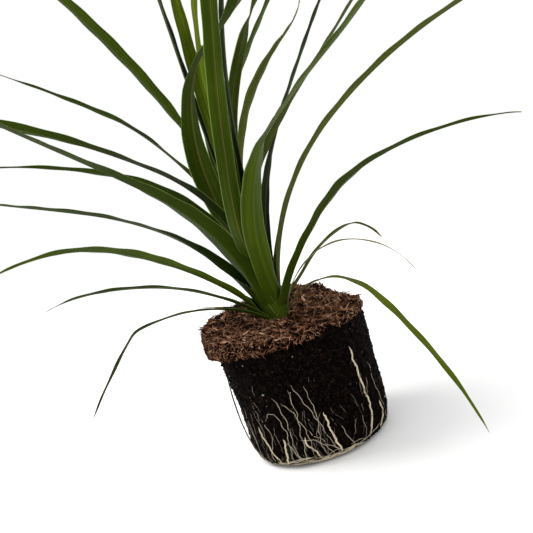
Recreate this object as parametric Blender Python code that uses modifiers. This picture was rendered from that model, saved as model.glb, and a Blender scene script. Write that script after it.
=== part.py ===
"""A young cordyline with strap leaves on its bare root ball, in real sizes.

The frame: origin at the centre of the flat underside of the root ball, +Z up along the
ball's axis, +X to the right and +Y away from the side that the roots show on. Lengths in
the tables are millimetres and angles are degrees; an azimuth of 0 points along +X and 90
along +Y.
"""
import math
import random
from typing import NamedTuple

import bmesh
import bpy
import numpy as np
from mathutils import Matrix, Vector

MM = 0.001
GAP = 0.0003

# Driving sizes, in metres unless a name or a note says millimetres
BALL_SIDES = 48
BALL_PROFILE = (          # height, radius of the side of the soil, bottom to top
    (0.0, 0.052),
    (0.004, 0.0600),
    (0.014, 0.0630),
    (0.030, 0.0640),
    (0.048, 0.0648),
    (0.066, 0.0653),
    (0.082, 0.0658),
    (0.095, 0.0662),
)
SOIL_TOP = 0.0975         # middle height of the face where soil and mulch meet
STEM_X = -0.006           # the stem stands a little left of the ball's axis
STEM_HOLE_RADIUS = 0.0105
STEM_HOLE_FLOOR = 0.088
STEM_HOLE_SIDES = 32
STEM_CUTTER_LENGTH = 0.060

WORN_AZIMUTH = 183.0      # middle of the worn hollow on the left side
WORN_SPAN = 15.0
WORN_HEIGHT = 0.050
WORN_RISE = 0.022
WORN_DEPTH = 0.0030
FOOT_FADE = 0.010         # the side's bumps fade out below this height

MULCH_RADIUS = 0.0705
MULCH_X = -0.004
MULCH_TOP = 0.119
MULCH_MOUNDS = (          # x, y, reach, height of a heap or, below zero, of a dip
    (0.015, 0.055, 0.030, 0.0065),
    (0.060, 0.030, 0.022, -0.0048),
)
SEAM_PEAK = 275.0         # azimuth where the soil reaches highest under the mulch
SEAM_LIFT = 0.0025
SEAM_SWING = 0.0060
SEAM_REACH = 0.066
MULCH_SLOPE_X = -0.085    # rise for each metre to the right
MULCH_SLOPE_Y = 0.030
BOWL_DEPTH = 0.0012       # the shallow bowl round the stem
BOWL_REACH = 0.020
LUMP_HEIGHT = 0.0009
LEFT_BULGE = 0.0026       # how far the mulch hangs out further on the left
LEFT_BULGE_SPAN = 0.45
CHIP_COUNT = 130
CHIP_RADII = (0.0008, 0.0014)
TOP_CHIP_LENGTH = 0.015
SIDE_CHIP_LENGTH = 0.009
CHIP_SEED = 11

ROOT_SEED = 5
RIM_ROOT_RADIUS = 0.0009
RIM_STEPS = 60
RIM_CLEAR = 9.0           # strands leave their own line for the rim root below this, in mm
LOW_STRIDE = 5.0          # spacing of a strand's points near the foot and above, in mm
HIGH_STRIDE = 13.0
LOW_PART = 20.0
MOST_TURN = 7.0           # widest turn between two points of a strand, in mm
MM_PER_DEGREE = 1.13      # arc of one degree on the ball's side
BACK_RADII = (0.45, 0.45, 0.55, 0.95)
BACK_FROM = -18.0         # azimuths between which the further strands are spread
BACK_SPAN = 190.0
PEELED_RADIUS = 0.0006

CROWN_PROFILE = (         # height, radius of the solid heart that the leaves sit on
    (0.0890, 0.0070),
    (0.0960, 0.0100),
    (0.1190, 0.0098),
    (0.1300, 0.0086),
    (0.1450, 0.0072),
    (0.1600, 0.0057),
    (0.1750, 0.0038),
    (0.1880, 0.0018),
    (0.1920, 0.0010),
)
CROWN_SIDES = 20
CROWN_TIP = 0.0006        # the closing cone above the last row

BLADE_THICKNESS = 0.0008
BLADE_STATIONS = 14       # crosswise rows of a blade
BLADE_CROWDING = 1.12     # above 1 the rows crowd toward the seat
SEAT_TURN_ENDS = 0.15     # by here a blade has turned from its seat to its bearing
SEAT_CLEARANCE = GAP + 0.6 * BLADE_THICKNESS
SEAT_PUSH = 1.15          # a little more than the least that clears the crown
LINE_STEPS = 120          # short steps that a blade's middle line is summed over
SHOULDER_SHARE = 0.36     # width near the tip as a share of the width at three quarters
FOLD_PLACES = (0.0, 0.10, 0.3, 0.7, 1.0)


class Leaf(NamedTuple):
    """One strap leaf, from its seat on the crown to its tip."""

    seat: float           # azimuth of its place on the crown
    bearing: tuple        # azimuth that it heads for at the seat, half way and at the tip
    lean: tuple           # angle from upright at the seat, 1/3, 2/3 and the tip
    length: float
    width: tuple          # at the seat, 1/4, 1/2 and 3/4 of the length
    height: float         # of the seat above the underside of the ball
    twist: tuple = (0, 0, 0, 0)
    crease: tuple = (0.5, 0.1, 0, 0)   # place, span, extra lean, extra twist beyond it
    dry: bool = False


LEAVES = (
    # low and wide spread, left
    Leaf(219, (188, 202, 192), (50, 77, 102, 110), 200, (5, 8, 9, 6), 121,
         (6, 10, -3, -35), (0.60, 0.06, 29, 0)),
    Leaf(208, (176, 189, 147), (44, 60, 80, 106), 205, (6, 11, 13, 9), 122.5,
         (11, 5, -2, -7)),
    Leaf(164, (206, 235, 219), (35, 53, 68, 96), 280, (7, 16, 17, 13), 123.5,
         (-5, 2, 9, 32)),
    Leaf(200, (126, 164, 112), (35, 60, 74, 85), 400, (7, 15, 19, 12), 127,
         (-5, 22, 26, 14)),
    Leaf(210, (258, 203, 209), (25, 48, 47, 50), 480, (10, 23, 20, 15), 130.5,
         (5, 0, -14, -8)),
    Leaf(242, (241, 208, 185), (16, 34, 61, 74), 273, (6, 12, 14, 10), 141,
         (2, 18, 18, 29)),
    # upper left
    Leaf(247, (239, 198, 167), (6, 50, 61, 73), 440, (7, 17, 15, 9), 146.5,
         (-4, -12, 19, 8), (0.47, 0.20, 0, 19)),
    Leaf(155, (157, 155, 181), (3, 29, 51, 53), 302, (6, 12, 13, 8), 159,
         (6, 41, -13, -21)),
    Leaf(75, (134, 154, 141), (7, 25, 35, 46), 500, (7, 18, 20, 14), 156.5,
         (0, 61, 54, 31)),
    # upright heart
    Leaf(150, (150, 150, 150), (4, 0, 1, 4), 500, (6, 14, 16, 11), 168.5,
         (2, 18, 35, 20)),
    Leaf(105, (111, 125, 110), (7, -7, -2, 5), 520, (6, 15, 16, 11), 184,
         (2, 14, 55, 31)),
    Leaf(292, (50, 1, 60), (-3, 7, 33, 51), 500, (6, 13, 14, 10), 167,
         (-4, -31, -20, -11)),
    Leaf(357, (50, 30, 50), (-1, 13, 29, 43), 480, (6, 13, 15, 10), 147,
         (-3, -27, 4, 2)),
    # broad leaves toward the front
    Leaf(329, (252, 311, 306), (70, 26, 17, 20), 520, (9, 14, 14, 11), 168,
         (-2, -12, -12, -5)),
    Leaf(179, (203, 342, 5), (5, 28, 36, 33), 480, (8, 22, 20, 16), 147.5,
         (20, 20, 4, 2), (0.43, 0.16, 28, 0)),
    Leaf(305, (263, 297, 317), (41, 51, 55, 34), 487, (9, 20, 15, 14), 135.5,
         (-9, 10, 20, 10), (0.42, 0.16, 12, 16)),
    # right and back
    Leaf(33, (109, -13, 21), (43, 50, 49, 51), 500, (7, 12, 16, 10), 144,
         (-34, 10, 5, 3)),
    Leaf(67, (83, 43, 38), (41, 49, 48, 55), 460, (6, 15, 14, 10), 130,
         (14, -31, -17, -10)),
    Leaf(77, (86, 48, 81), (5, 43, 72, 74), 419, (6, 10, 15, 8), 142.5,
         (-4, -91, -50, -39)),
    Leaf(19, (99, 15, 55), (21, 35, 42, 50), 460, (6, 12, 10, 10), 180.5,
         (4, 58, -2, -1), (0.49, 0.16, 0, -104)),
    Leaf(146, (99, 42, 57), (10, 39, 54, 53), 400, (6, 12, 13, 8), 151,
         (0, -3, -7, 1)),
    Leaf(21, (4, -7, 40), (10, 56, 80, 99), 500, (7, 16, 18, 12), 131,
         (-2, -21, -16, -9)),
    Leaf(333, (321, 303, 378), (34, 53, 77, 106), 300, (7, 14, 16, 11), 127,
         (-6, 0, -17, -25)),
    Leaf(73, (12, 16, 50), (57, 50, 86, 119), 148, (5, 10, 11, 8), 121,
         (1, -9, -1, -9), (0.72, 0.12, 25, 0)),
    Leaf(25, (352, 338, 350), (24, 59, 113, 160), 156, (2, 3, 3, 2), 121,
         (2, 14, 12, 6), dry=True),
    Leaf(341, (323, 289, 309), (45, 100, 132, 164), 263, (4, 6, 8, 6), 121,
         (-6, -10, -17, 23)),
    # arching over at the back
    Leaf(140, (92, 80, 94), (30, 33, 89, 112), 380, (7, 15, 17, 11), 139),
    Leaf(108, (95, 97, 99), (50, 74, 88, 122), 300, (6, 13, 14, 9), 121),
    Leaf(117, (89, 93, 98), (27, 62, 100, 97), 310, (6, 14, 15, 10), 126),
    Leaf(146, (96, 80, 89), (20, 36, 57, 95), 360, (6, 14, 15, 10), 147),
    # withered stub low on the left
    Leaf(185, (150, 176, 178), (56, 62, 70, 78), 62, (5, 6, 5, 3), 121, dry=True),
)

COLOURS = {
    "soil": ((0.022, 0.016, 0.012, 1.0), 0.95),
    "mulch": ((0.235, 0.120, 0.066, 1.0), 0.92),
    "root": ((0.700, 0.600, 0.440, 1.0), 0.80),
    "crown": ((0.100, 0.160, 0.040, 1.0), 0.60),
    "leaf": ((0.070, 0.150, 0.022, 1.0), 0.48),
    "leaf_dry": ((0.420, 0.360, 0.230, 1.0), 0.75),
}

STRANDS = (
    # radius, then (azimuth, height) down the side of the ball; each ends in the rim root
    (1.15, (310, 88), (310, 75), (311, 62), (312, 49), (313, 41), (315, 33), (312, 18), (306, 6)),
    (1.00, (328, 28), (330, 20), (327, 12), (322, 6)),
    (1.20, (275, 46), (275, 38), (276, 29), (277, 21), (279, 9), (280, 5)),
    (1.10, (238, 30), (238, 22), (235, 10), (234, 5)),
    (1.10, (256, 29), (256, 20), (261, 14), (263, 5)),
    (1.00, (218, 42), (220, 33), (222, 25), (226, 12), (228, 5)),
    (0.45, (258, 77), (262, 64), (266, 51), (269, 41), (272, 26), (276, 12), (278, 5)),
    (0.50, (255, 73), (255, 61), (256, 50), (254, 38), (253, 27), (253, 19), (250, 5)),
    (0.45, (267, 73), (268, 63), (269, 55), (270, 47), (268, 34), (266, 22), (268, 6)),
    (0.45, (242, 69), (245, 57), (246, 48), (246, 36), (245, 24), (246, 5)),
    (0.45, (246, 63), (251, 58), (254, 51), (257, 41), (259, 30), (258, 5)),
    (0.45, (229, 48), (233, 55), (239, 54), (241, 47), (243, 37), (241, 20), (240, 5)),
    (0.45, (259, 35), (263, 28), (268, 23), (270, 15), (273, 6)),
    (0.45, (251, 27), (261, 25), (268, 18), (274, 14), (283, 5)),
    (0.45, (285, 29), (286, 21), (288, 15), (292, 5)),
    (0.45, (225, 49), (228, 40), (229, 30), (223, 18), (220, 6)),
    (0.45, (240, 26), (243, 20), (247, 10), (254, 5)),
    (0.45, (325, 66), (328, 58), (326, 50), (330, 34), (334, 18), (338, 6)),
    (0.40, (206, 58), (205, 47), (208, 30), (206, 14), (208, 6)),
)
STRAND_SEED_COUNT = 13    # further strands round the sides and the back
PEELED_STRAND = ((176, 80, 0.0), (182, 72, 0.6), (185, 62, 2.2), (186, 50, 3.0), (187, 38, 2.6),
                 (190, 27, 1.4), (196, 16, 0.4), (200, 6, 0.0))


def clear_scene() -> None:
    """Remove every object and unused block that a new file starts with."""
    for thing in list(bpy.data.objects):
        bpy.data.objects.remove(thing, do_unlink=True)
    for group in list(bpy.data.collections):
        bpy.data.collections.remove(group)


def new_collection(name: str) -> bpy.types.Collection:
    """Add a collection under the scene."""
    group = bpy.data.collections.new(name)
    bpy.context.scene.collection.children.link(group)
    return group


def new_material(name: str) -> bpy.types.Material:
    """Make the plain material of one kind of piece."""
    colour, roughness = COLOURS[name]
    material = bpy.data.materials.new(name)
    material.use_nodes = True
    shader = material.node_tree.nodes["Principled BSDF"]
    shader.inputs["Base Color"].default_value = colour
    shader.inputs["Roughness"].default_value = roughness
    material.diffuse_color = colour
    return material


def place(name: str, mesh: bpy.types.Mesh, group, material) -> bpy.types.Object:
    """Put a finished mesh in the scene as one flat-shaded object."""
    mesh.materials.clear()
    if material is not None:
        mesh.materials.append(material)
    for face in mesh.polygons:
        face.material_index = 0
        face.use_smooth = False
    thing = bpy.data.objects.new(name, mesh)
    group.objects.link(thing)
    return thing


def bake(thing: bpy.types.Object, name: str) -> bpy.types.Mesh:
    """Apply an object's modifiers, remove the object and return its mesh."""
    bpy.context.view_layer.update()
    graph = bpy.context.evaluated_depsgraph_get()
    mesh = bpy.data.meshes.new_from_object(thing.evaluated_get(graph), depsgraph=graph)
    mesh.name = name
    bpy.data.objects.remove(thing, do_unlink=True)
    return mesh


def tidy_mesh(mesh: bpy.types.Mesh) -> None:
    """Point the faces outward and drop needle-thin leftovers of a cut."""
    work = bmesh.new()
    work.from_mesh(mesh)
    bmesh.ops.remove_doubles(work, verts=work.verts, dist=0.0000005)
    bmesh.ops.triangulate(work, faces=work.faces)
    bmesh.ops.recalc_face_normals(work, faces=work.faces)
    work.to_mesh(mesh)
    work.free()


def lathe(name: str, profile, group, sides: int = BALL_SIDES) -> bpy.types.Object:
    """Turn a (height, radius) profile into a closed solid with the Screw tool."""
    points = [(radius, 0.0, height) for height, radius in profile]
    edges = [(i, i + 1) for i in range(len(points) - 1)]
    mesh = bpy.data.meshes.new(name)
    mesh.from_pydata(points, edges, [])
    thing = bpy.data.objects.new(name, mesh)
    group.objects.link(thing)
    turn = thing.modifiers.new("turn", "SCREW")
    turn.axis = "Z"
    turn.angle = math.tau
    turn.steps = sides
    turn.render_steps = sides
    turn.use_merge_vertices = True
    turn.merge_threshold = 0.00005
    turn.use_normal_calculate = True
    return thing


def cut_hole(thing: bpy.types.Object, cutter: bpy.types.Object) -> None:
    """Sink the stem's plain round hole into a solid."""
    cut = thing.modifiers.new("stem hole", "BOOLEAN")
    cut.operation = "DIFFERENCE"
    cut.solver = "EXACT"
    cut.object = cutter


def seam_height(x: float, y: float) -> float:
    """Height of the uneven face between the soil and the mulch."""
    spread = (math.hypot(x, y) / SEAM_REACH) ** 2
    turn = math.atan2(y, x) - math.radians(SEAM_PEAK)
    return SOIL_TOP + SEAM_LIFT + spread * (SEAM_LIFT + SEAM_SWING * math.cos(turn))


def mulch_top(x: float, y: float) -> float:
    """Height of the mulch: higher on the left, with a shallow bowl round the stem."""
    off_stem = math.hypot(x - STEM_X, y)
    bowl = BOWL_DEPTH * math.exp(-(off_stem / BOWL_REACH) ** 2)
    lumps = LUMP_HEIGHT * math.sin(150.0 * x + 1.0) * math.sin(130.0 * y + 0.4)
    mounds = sum(height * math.exp(-((x - place_x) ** 2 + (y - place_y) ** 2) / reach ** 2)
                 for place_x, place_y, reach, height in MULCH_MOUNDS)
    slope = MULCH_SLOPE_X * (x - MULCH_X) + MULCH_SLOPE_Y * y
    return MULCH_TOP + slope + lumps - bowl + mounds


def mulch_radius(angle: float) -> float:
    """Ragged outer edge of the mulch at one azimuth, in radians."""
    ragged = 0.0014 * math.sin(3 * angle + 1.0) + 0.0009 * math.sin(7 * angle + 0.3)
    left = LEFT_BULGE * math.exp(-((angle % math.tau - math.pi) / LEFT_BULGE_SPAN) ** 2)
    return MULCH_RADIUS + ragged + left + 0.0006 * math.sin(13 * angle + 2.0)


def ball_radius(angle: float, height: float) -> float:
    """Radius of the soil's side at an azimuth in radians and a height in metres."""
    heights = [row[0] for row in BALL_PROFILE]
    radii = [row[1] for row in BALL_PROFILE]
    radius = float(np.interp(height, heights, radii))
    fade = min(1.0, height / FOOT_FADE)
    bumps = 0.00035 * math.sin(5 * angle + 90.0 * height) + 0.00025 * math.sin(9 * angle - 60.0 * height)
    turn = (math.degrees(angle) - WORN_AZIMUTH + 180.0) % 360.0 - 180.0
    rise = height - WORN_HEIGHT
    worn = WORN_DEPTH * math.exp(-(turn / WORN_SPAN) ** 2 - (rise / WORN_RISE) ** 2)
    return radius + fade * (bumps - worn)


def make_stem_cutter(group) -> bpy.types.Object:
    """The round bar that marks the stem's hole."""
    work = bmesh.new()
    bmesh.ops.create_cone(work, cap_ends=True, segments=STEM_HOLE_SIDES, radius1=STEM_HOLE_RADIUS,
                          radius2=STEM_HOLE_RADIUS, depth=STEM_CUTTER_LENGTH)
    move = Matrix.Translation((STEM_X, 0.0, STEM_HOLE_FLOOR + 0.5 * STEM_CUTTER_LENGTH))
    bmesh.ops.transform(work, matrix=move, verts=work.verts)
    mesh = bpy.data.meshes.new("stem_hole_cutter")
    work.to_mesh(mesh)
    work.free()
    cutter = place("stem_hole_cutter", mesh, group, None)
    cutter.hide_render = True
    cutter.display_type = "WIRE"
    return cutter


def make_root_ball(group, cutter, material) -> None:
    """The moulded block of soil, flat underneath, with a hole for the stem."""
    profile = [(0.0, 0.0), (0.0, 0.026)]
    heights = (0.0, 0.004, 0.009, 0.014, 0.022, 0.030, 0.039, 0.048, 0.057, 0.066, 0.074, 0.082, 0.095)
    profile += [(height, ball_radius(0.0, height)) for height in heights]
    top = SOIL_TOP
    profile += [(top, 0.0666), (top, 0.0560), (top, 0.0440), (top, 0.0300), (top, 0.0150), (top, 0.0)]
    mesh = bake(lathe("root_ball", profile, group), "root_ball")
    for vertex in mesh.vertices:
        x, y, z = vertex.co
        reach = math.hypot(x, y)
        if z > SOIL_TOP - 0.0005:
            vertex.co.z = seam_height(x, y) - GAP
        elif reach > 0.050:
            scale = ball_radius(math.atan2(y, x), z) / reach
            vertex.co.x = x * scale
            vertex.co.y = y * scale
    thing = place("root_ball", mesh, group, material)
    cut_hole(thing, cutter)
    mesh = bake(thing, "root_ball")
    tidy_mesh(mesh)
    place("root_ball", mesh, group, material)


def make_chip(rng: random.Random, spot: Vector, facing: Vector, longest: float) -> bpy.types.Mesh:
    """One three-sided splinter lying on the mulch, half sunk."""
    length = rng.uniform(0.5 * longest, longest)
    radius = rng.uniform(*CHIP_RADII)
    work = bmesh.new()
    bmesh.ops.create_cone(work, cap_ends=True, segments=3, radius1=radius,
                          radius2=radius * rng.uniform(0.4, 0.9), depth=length)
    along = facing.orthogonal().normalized()
    along.rotate(Matrix.Rotation(rng.uniform(0.0, math.tau), 3, facing))
    along = along + facing * rng.uniform(-0.12, 0.22)
    if abs(facing.z) < 0.5:
        along.z *= 0.4
    along.normalize()
    turn = along.to_track_quat("Z", "Y").to_matrix().to_4x4()
    bmesh.ops.transform(work, matrix=Matrix.Translation(spot) @ turn, verts=work.verts)
    mesh = bpy.data.meshes.new("chip")
    work.to_mesh(mesh)
    work.free()
    return mesh


def make_mulch(group, repeats, cutter, material) -> None:
    """The mat of coarse brown fibre on top, with splinters fused to its skin."""
    low = SOIL_TOP
    high = MULCH_TOP
    profile = [(low, 0.0), (low, 0.018), (low, 0.034), (low, 0.048), (low, 0.060), (low, 0.068)]
    profile += [(low + 0.004, MULCH_RADIUS), (high - 0.003, MULCH_RADIUS), (high, 0.067)]
    profile += [(high, 0.058), (high, 0.046), (high, 0.034), (high, 0.022), (high, 0.0)]
    mesh = bake(lathe("coir_mulch", profile, group), "coir_mulch")
    for vertex in mesh.vertices:
        x, y, z = vertex.co
        angle = math.atan2(y, x)
        scale = mulch_radius(angle) / MULCH_RADIUS
        if math.hypot(x, y) < 0.040:
            scale = 1.0
        x = x * scale + MULCH_X
        y = y * scale
        part = (z - low) / (high - low)
        bottom = seam_height(x, y)
        vertex.co = (x, y, bottom + part * (mulch_top(x, y) - bottom))
    thing = place("coir_mulch", mesh, group, material)
    rng = random.Random(CHIP_SEED)
    for index in range(CHIP_COUNT):
        angle = rng.uniform(0.0, math.tau)
        edge = mulch_radius(angle)
        if index % 4 == 3:
            x = (edge - 0.0006) * math.cos(angle) + MULCH_X
            y = (edge - 0.0006) * math.sin(angle)
            bottom = seam_height(x, y)
            top = mulch_top(x, y)
            spot = Vector((x, y, bottom + rng.uniform(0.40, 0.75) * (top - bottom)))
            facing = Vector((math.cos(angle), math.sin(angle), 0.0))
            longest = SIDE_CHIP_LENGTH
        else:
            reach = math.sqrt(rng.uniform(0.12, 0.86)) * edge
            x = reach * math.cos(angle) + MULCH_X
            y = reach * math.sin(angle)
            spot = Vector((x, y, mulch_top(x, y) - 0.0002))
            facing = Vector((0.0, 0.0, 1.0))
            longest = TOP_CHIP_LENGTH
        place(f"chip_{index:03d}", make_chip(rng, spot, facing, longest), repeats, material)
    fuse = thing.modifiers.new("fuse chips", "BOOLEAN")
    fuse.operation = "UNION"
    fuse.solver = "EXACT"
    fuse.operand_type = "COLLECTION"
    fuse.collection = repeats
    cut_hole(thing, cutter)
    mesh = bake(thing, "coir_mulch")
    for chip in list(repeats.objects):
        bpy.data.objects.remove(chip, do_unlink=True)
    tidy_mesh(mesh)
    place("coir_mulch", mesh, group, material)


def make_tube(name: str, points, radius: float, group, closed: bool = False) -> bpy.types.Object:
    """A square-sided root along a run of points, with filled ends."""
    curve = bpy.data.curves.new(name, "CURVE")
    curve.dimensions = "3D"
    curve.bevel_depth = radius
    curve.bevel_resolution = 0
    curve.use_fill_caps = True
    run = curve.splines.new("POLY")
    run.points.add(len(points) - 1)
    for slot, point in zip(run.points, points):
        slot.co = (point.x, point.y, point.z, 1.0)
    run.use_cyclic_u = closed
    thing = bpy.data.objects.new(name, curve)
    group.objects.link(thing)
    mesh = bake(thing, name)
    return place(name, mesh, group, None)


def rim_height(angle: float) -> float:
    """Height of the root that runs round the foot of the ball, at an azimuth in radians."""
    return 0.0068 + 0.0010 * math.sin(3 * angle) + 0.0006 * math.sin(8 * angle + 1.0)


def strand_points(stops, radius: float):
    """Resample (azimuth, height, lift) stops so that a root hugs the soil's curve."""
    points = []
    stops = [stop for stop in stops if stop[1] > RIM_CLEAR] + [stops[-1]]
    for first, second in zip(stops[:-1], stops[1:]):
        swing = abs(second[0] - first[0]) * MM_PER_DEGREE
        drop = abs(second[1] - first[1])
        stride = LOW_STRIDE if second[1] < LOW_PART else HIGH_STRIDE
        pieces = max(1, math.ceil(max(swing / MOST_TURN, drop / stride)))
        for piece in range(pieces):
            part = piece / pieces
            points.append([a + (b - a) * part for a, b in zip(first, second)])
    azimuth = stops[-1][0]
    points.append([azimuth, rim_height(math.radians(azimuth)) / MM, stops[-1][2]])
    run = []
    for azimuth, height, lift in points:
        angle = math.radians(azimuth)
        reach = ball_radius(angle, height * MM) + GAP + radius + lift * MM
        run.append(Vector((reach * math.cos(angle), reach * math.sin(angle), height * MM)))
    return run


def make_surface_roots(group, repeats, material) -> None:
    """The pale roots on the soil's side, all grown together through the rim root."""
    rng = random.Random(ROOT_SEED)
    rim = []
    for step in range(RIM_STEPS):
        angle = math.tau * step / RIM_STEPS
        height = rim_height(angle)
        reach = ball_radius(angle, height) + GAP + RIM_ROOT_RADIUS + 0.0001
        rim.append(Vector((reach * math.cos(angle), reach * math.sin(angle), height)))
    thing = make_tube("surface_roots", rim, RIM_ROOT_RADIUS, group, closed=True)
    for index, row in enumerate(STRANDS):
        stops = [(azimuth, height, 0.0) for azimuth, height in row[1:]]
        make_tube(f"strand_{index:02d}", strand_points(stops, row[0] * MM), row[0] * MM, repeats)
    for index in range(STRAND_SEED_COUNT):
        azimuth = BACK_FROM + BACK_SPAN * (index + 0.5) / STRAND_SEED_COUNT + rng.uniform(-4.0, 4.0)
        height = rng.uniform(28.0, 80.0)
        radius = rng.choice(BACK_RADII)
        stops = [(azimuth, height, 0.0)]
        while stops[-1][1] > 18.0:
            azimuth += rng.uniform(-5.0, 5.0)
            height = stops[-1][1] - rng.uniform(10.0, 15.0)
            stops.append((azimuth, max(height, 7.0), 0.0))
        stops.append((azimuth + rng.uniform(-3.0, 3.0), 5.0, 0.0))
        make_tube(f"strand_b{index:02d}", strand_points(stops, radius * MM), radius * MM, repeats)
    make_tube("strand_peeled", strand_points(PEELED_STRAND, PEELED_RADIUS), PEELED_RADIUS, repeats)
    fuse = thing.modifiers.new("fuse strands", "BOOLEAN")
    fuse.operation = "UNION"
    fuse.solver = "EXACT"
    fuse.use_self = True
    fuse.operand_type = "COLLECTION"
    fuse.collection = repeats
    mesh = bake(thing, "surface_roots")
    for strand in list(repeats.objects):
        bpy.data.objects.remove(strand, do_unlink=True)
    tidy_mesh(mesh)
    place("surface_roots", mesh, group, material)


def crown_radius(height: float) -> float:
    """Radius of the crown's heart at a height in metres."""
    heights = [row[0] for row in CROWN_PROFILE]
    radii = [row[1] for row in CROWN_PROFILE]
    return float(np.interp(height, heights, radii))


def make_crown(group, material) -> None:
    """The short solid heart that rises from the hole and carries the leaves."""
    profile = [(CROWN_PROFILE[0][0], 0.0)]
    profile += list(CROWN_PROFILE)
    profile += [(CROWN_PROFILE[-1][0] + CROWN_TIP, 0.0)]
    mesh = bake(lathe("crown", profile, group, sides=CROWN_SIDES), "crown")
    for vertex in mesh.vertices:
        vertex.co.x += STEM_X
    tidy_mesh(mesh)
    place("crown", mesh, group, material)


def ease(value: float) -> float:
    """Smooth step from 0 to 1."""
    part = min(1.0, max(0.0, value))
    return part * part * (3.0 - 2.0 * part)


def leaf_angles(leaf: Leaf, place_on: float):
    """Lean, azimuth and twist in radians at a place from 0 (seat) to 1 (tip)."""
    thirds = (0.0, 1 / 3, 2 / 3, 1.0)
    where, span, extra_lean, extra_twist = leaf.crease
    beyond = ease((place_on - where) / span + 0.5)
    lean = float(np.interp(place_on, thirds, leaf.lean)) + extra_lean * beyond
    twist = float(np.interp(place_on, thirds, leaf.twist)) + extra_twist * beyond
    azimuth = float(np.interp(place_on, (0.0, 0.5, 1.0), leaf.bearing))
    return math.radians(lean), math.radians(azimuth), math.radians(twist)


def leaf_heading(leaf: Leaf, place_on: float) -> Vector:
    """Direction that a leaf runs in at a place along it."""
    lean, azimuth, _ = leaf_angles(leaf, place_on)
    flat = math.sin(lean)
    return Vector((flat * math.cos(azimuth), flat * math.sin(azimuth), math.cos(lean)))


def leaf_frames(leaf: Leaf, stations):
    """Middle line, sideways and upward directions of a leaf at its stations."""
    height = leaf.height * MM
    angle = math.radians(leaf.seat)
    reach = crown_radius(height) + SEAT_CLEARANCE
    point = Vector((STEM_X + reach * math.cos(angle), reach * math.sin(angle), height))
    line = [point.copy()]
    for step in range(LINE_STEPS):
        heading = leaf_heading(leaf, (step + 0.5) / LINE_STEPS)
        point = point + heading * (leaf.length * MM / LINE_STEPS)
        line.append(point.copy())
    swing = math.radians((leaf.seat - leaf.bearing[0] + 180.0) % 360.0 - 180.0)
    frames = []
    for station in stations:
        _, azimuth, twist = leaf_angles(leaf, station)
        facing = azimuth + swing * (1.0 - ease(station / SEAT_TURN_ENDS))
        heading = leaf_heading(leaf, station)
        up = heading.cross(Vector((-math.sin(facing), math.cos(facing), 0.0))).normalized()
        side = up.cross(heading)
        spun = side * math.cos(twist) + up * math.sin(twist)
        raised = up * math.cos(twist) - side * math.sin(twist)
        spot = station * LINE_STEPS
        low = min(int(spot), LINE_STEPS - 1)
        middle = line[low].lerp(line[low + 1], spot - low)
        frames.append((middle, spun, raised))
    outward = Vector((math.cos(angle), math.sin(angle), 0.0)) * seat_push(leaf, frames[0])
    return [(middle + outward, side, up) for middle, side, up in frames]


def seat_push(leaf: Leaf, seat_frame) -> float:
    """How far a leaf moves outward so that both corners of its seat clear the crown."""
    middle, side, up = seat_frame
    half = leaf_half_width(leaf, 0.0)
    fold = leaf_fold(leaf, 0.0)
    push = 0.0
    for across in (-half, half):
        corner = middle + side * (across * math.cos(fold)) + up * (half * math.sin(fold))
        clear = math.hypot(corner.x - STEM_X, corner.y) - crown_radius(corner.z)
        push = max(push, SEAT_CLEARANCE - clear)
    return SEAT_PUSH * push


def leaf_half_width(leaf: Leaf, station: float) -> float:
    """Half the blade's width in metres at a place along it."""
    seat, quarter, half, late = leaf.width
    places = (0.0, 0.25, 0.5, 0.75, 0.93, 1.0)
    widths = (seat, quarter, half, late, SHOULDER_SHARE * late + 0.2, 1.0)
    return 0.5 * MM * float(np.interp(station, places, widths))


def leaf_fold(leaf: Leaf, station: float) -> float:
    """How far each half of the blade is raised, in radians; the seat hugs the crown."""
    round_crown = crown_radius(leaf.height * MM) + 0.0008
    seat = 0.9 * math.degrees(math.asin(min(0.9, 0.25 * leaf.width[0] * MM / round_crown)))
    folds = (seat, 28.0, 18.0, 13.0, 22.0)
    return math.radians(float(np.interp(station, FOLD_PLACES, folds)))


def make_leaf(name: str, leaf: Leaf, group, material) -> None:
    """One blade: a grid bent along the leaf's line, split and given its thickness."""
    work = bmesh.new()
    bmesh.ops.create_grid(work, x_segments=BLADE_STATIONS - 1, y_segments=2, size=1.0)
    stations = [(i / (BLADE_STATIONS - 1)) ** BLADE_CROWDING for i in range(BLADE_STATIONS)]
    frames = leaf_frames(leaf, stations)
    for vertex in work.verts:
        index = round((vertex.co.x + 1.0) * 0.5 * (BLADE_STATIONS - 1))
        across = vertex.co.y
        middle, side, up = frames[index]
        half = leaf_half_width(leaf, stations[index])
        fold = leaf_fold(leaf, stations[index])
        out = side * (across * half * math.cos(fold))
        vertex.co = middle + out + up * (abs(across) * half * math.sin(fold))
    bmesh.ops.triangulate(work, faces=work.faces, quad_method="FIXED")
    mesh = bpy.data.meshes.new(name)
    work.to_mesh(mesh)
    work.free()
    thing = place(name, mesh, group, material)
    blade = thing.modifiers.new("blade", "SOLIDIFY")
    blade.thickness = BLADE_THICKNESS
    blade.offset = 0.0
    blade.use_even_offset = False
    blade.use_rim = True
    mesh = bake(thing, name)
    tidy_mesh(mesh)
    place(name, mesh, group, material)


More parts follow.
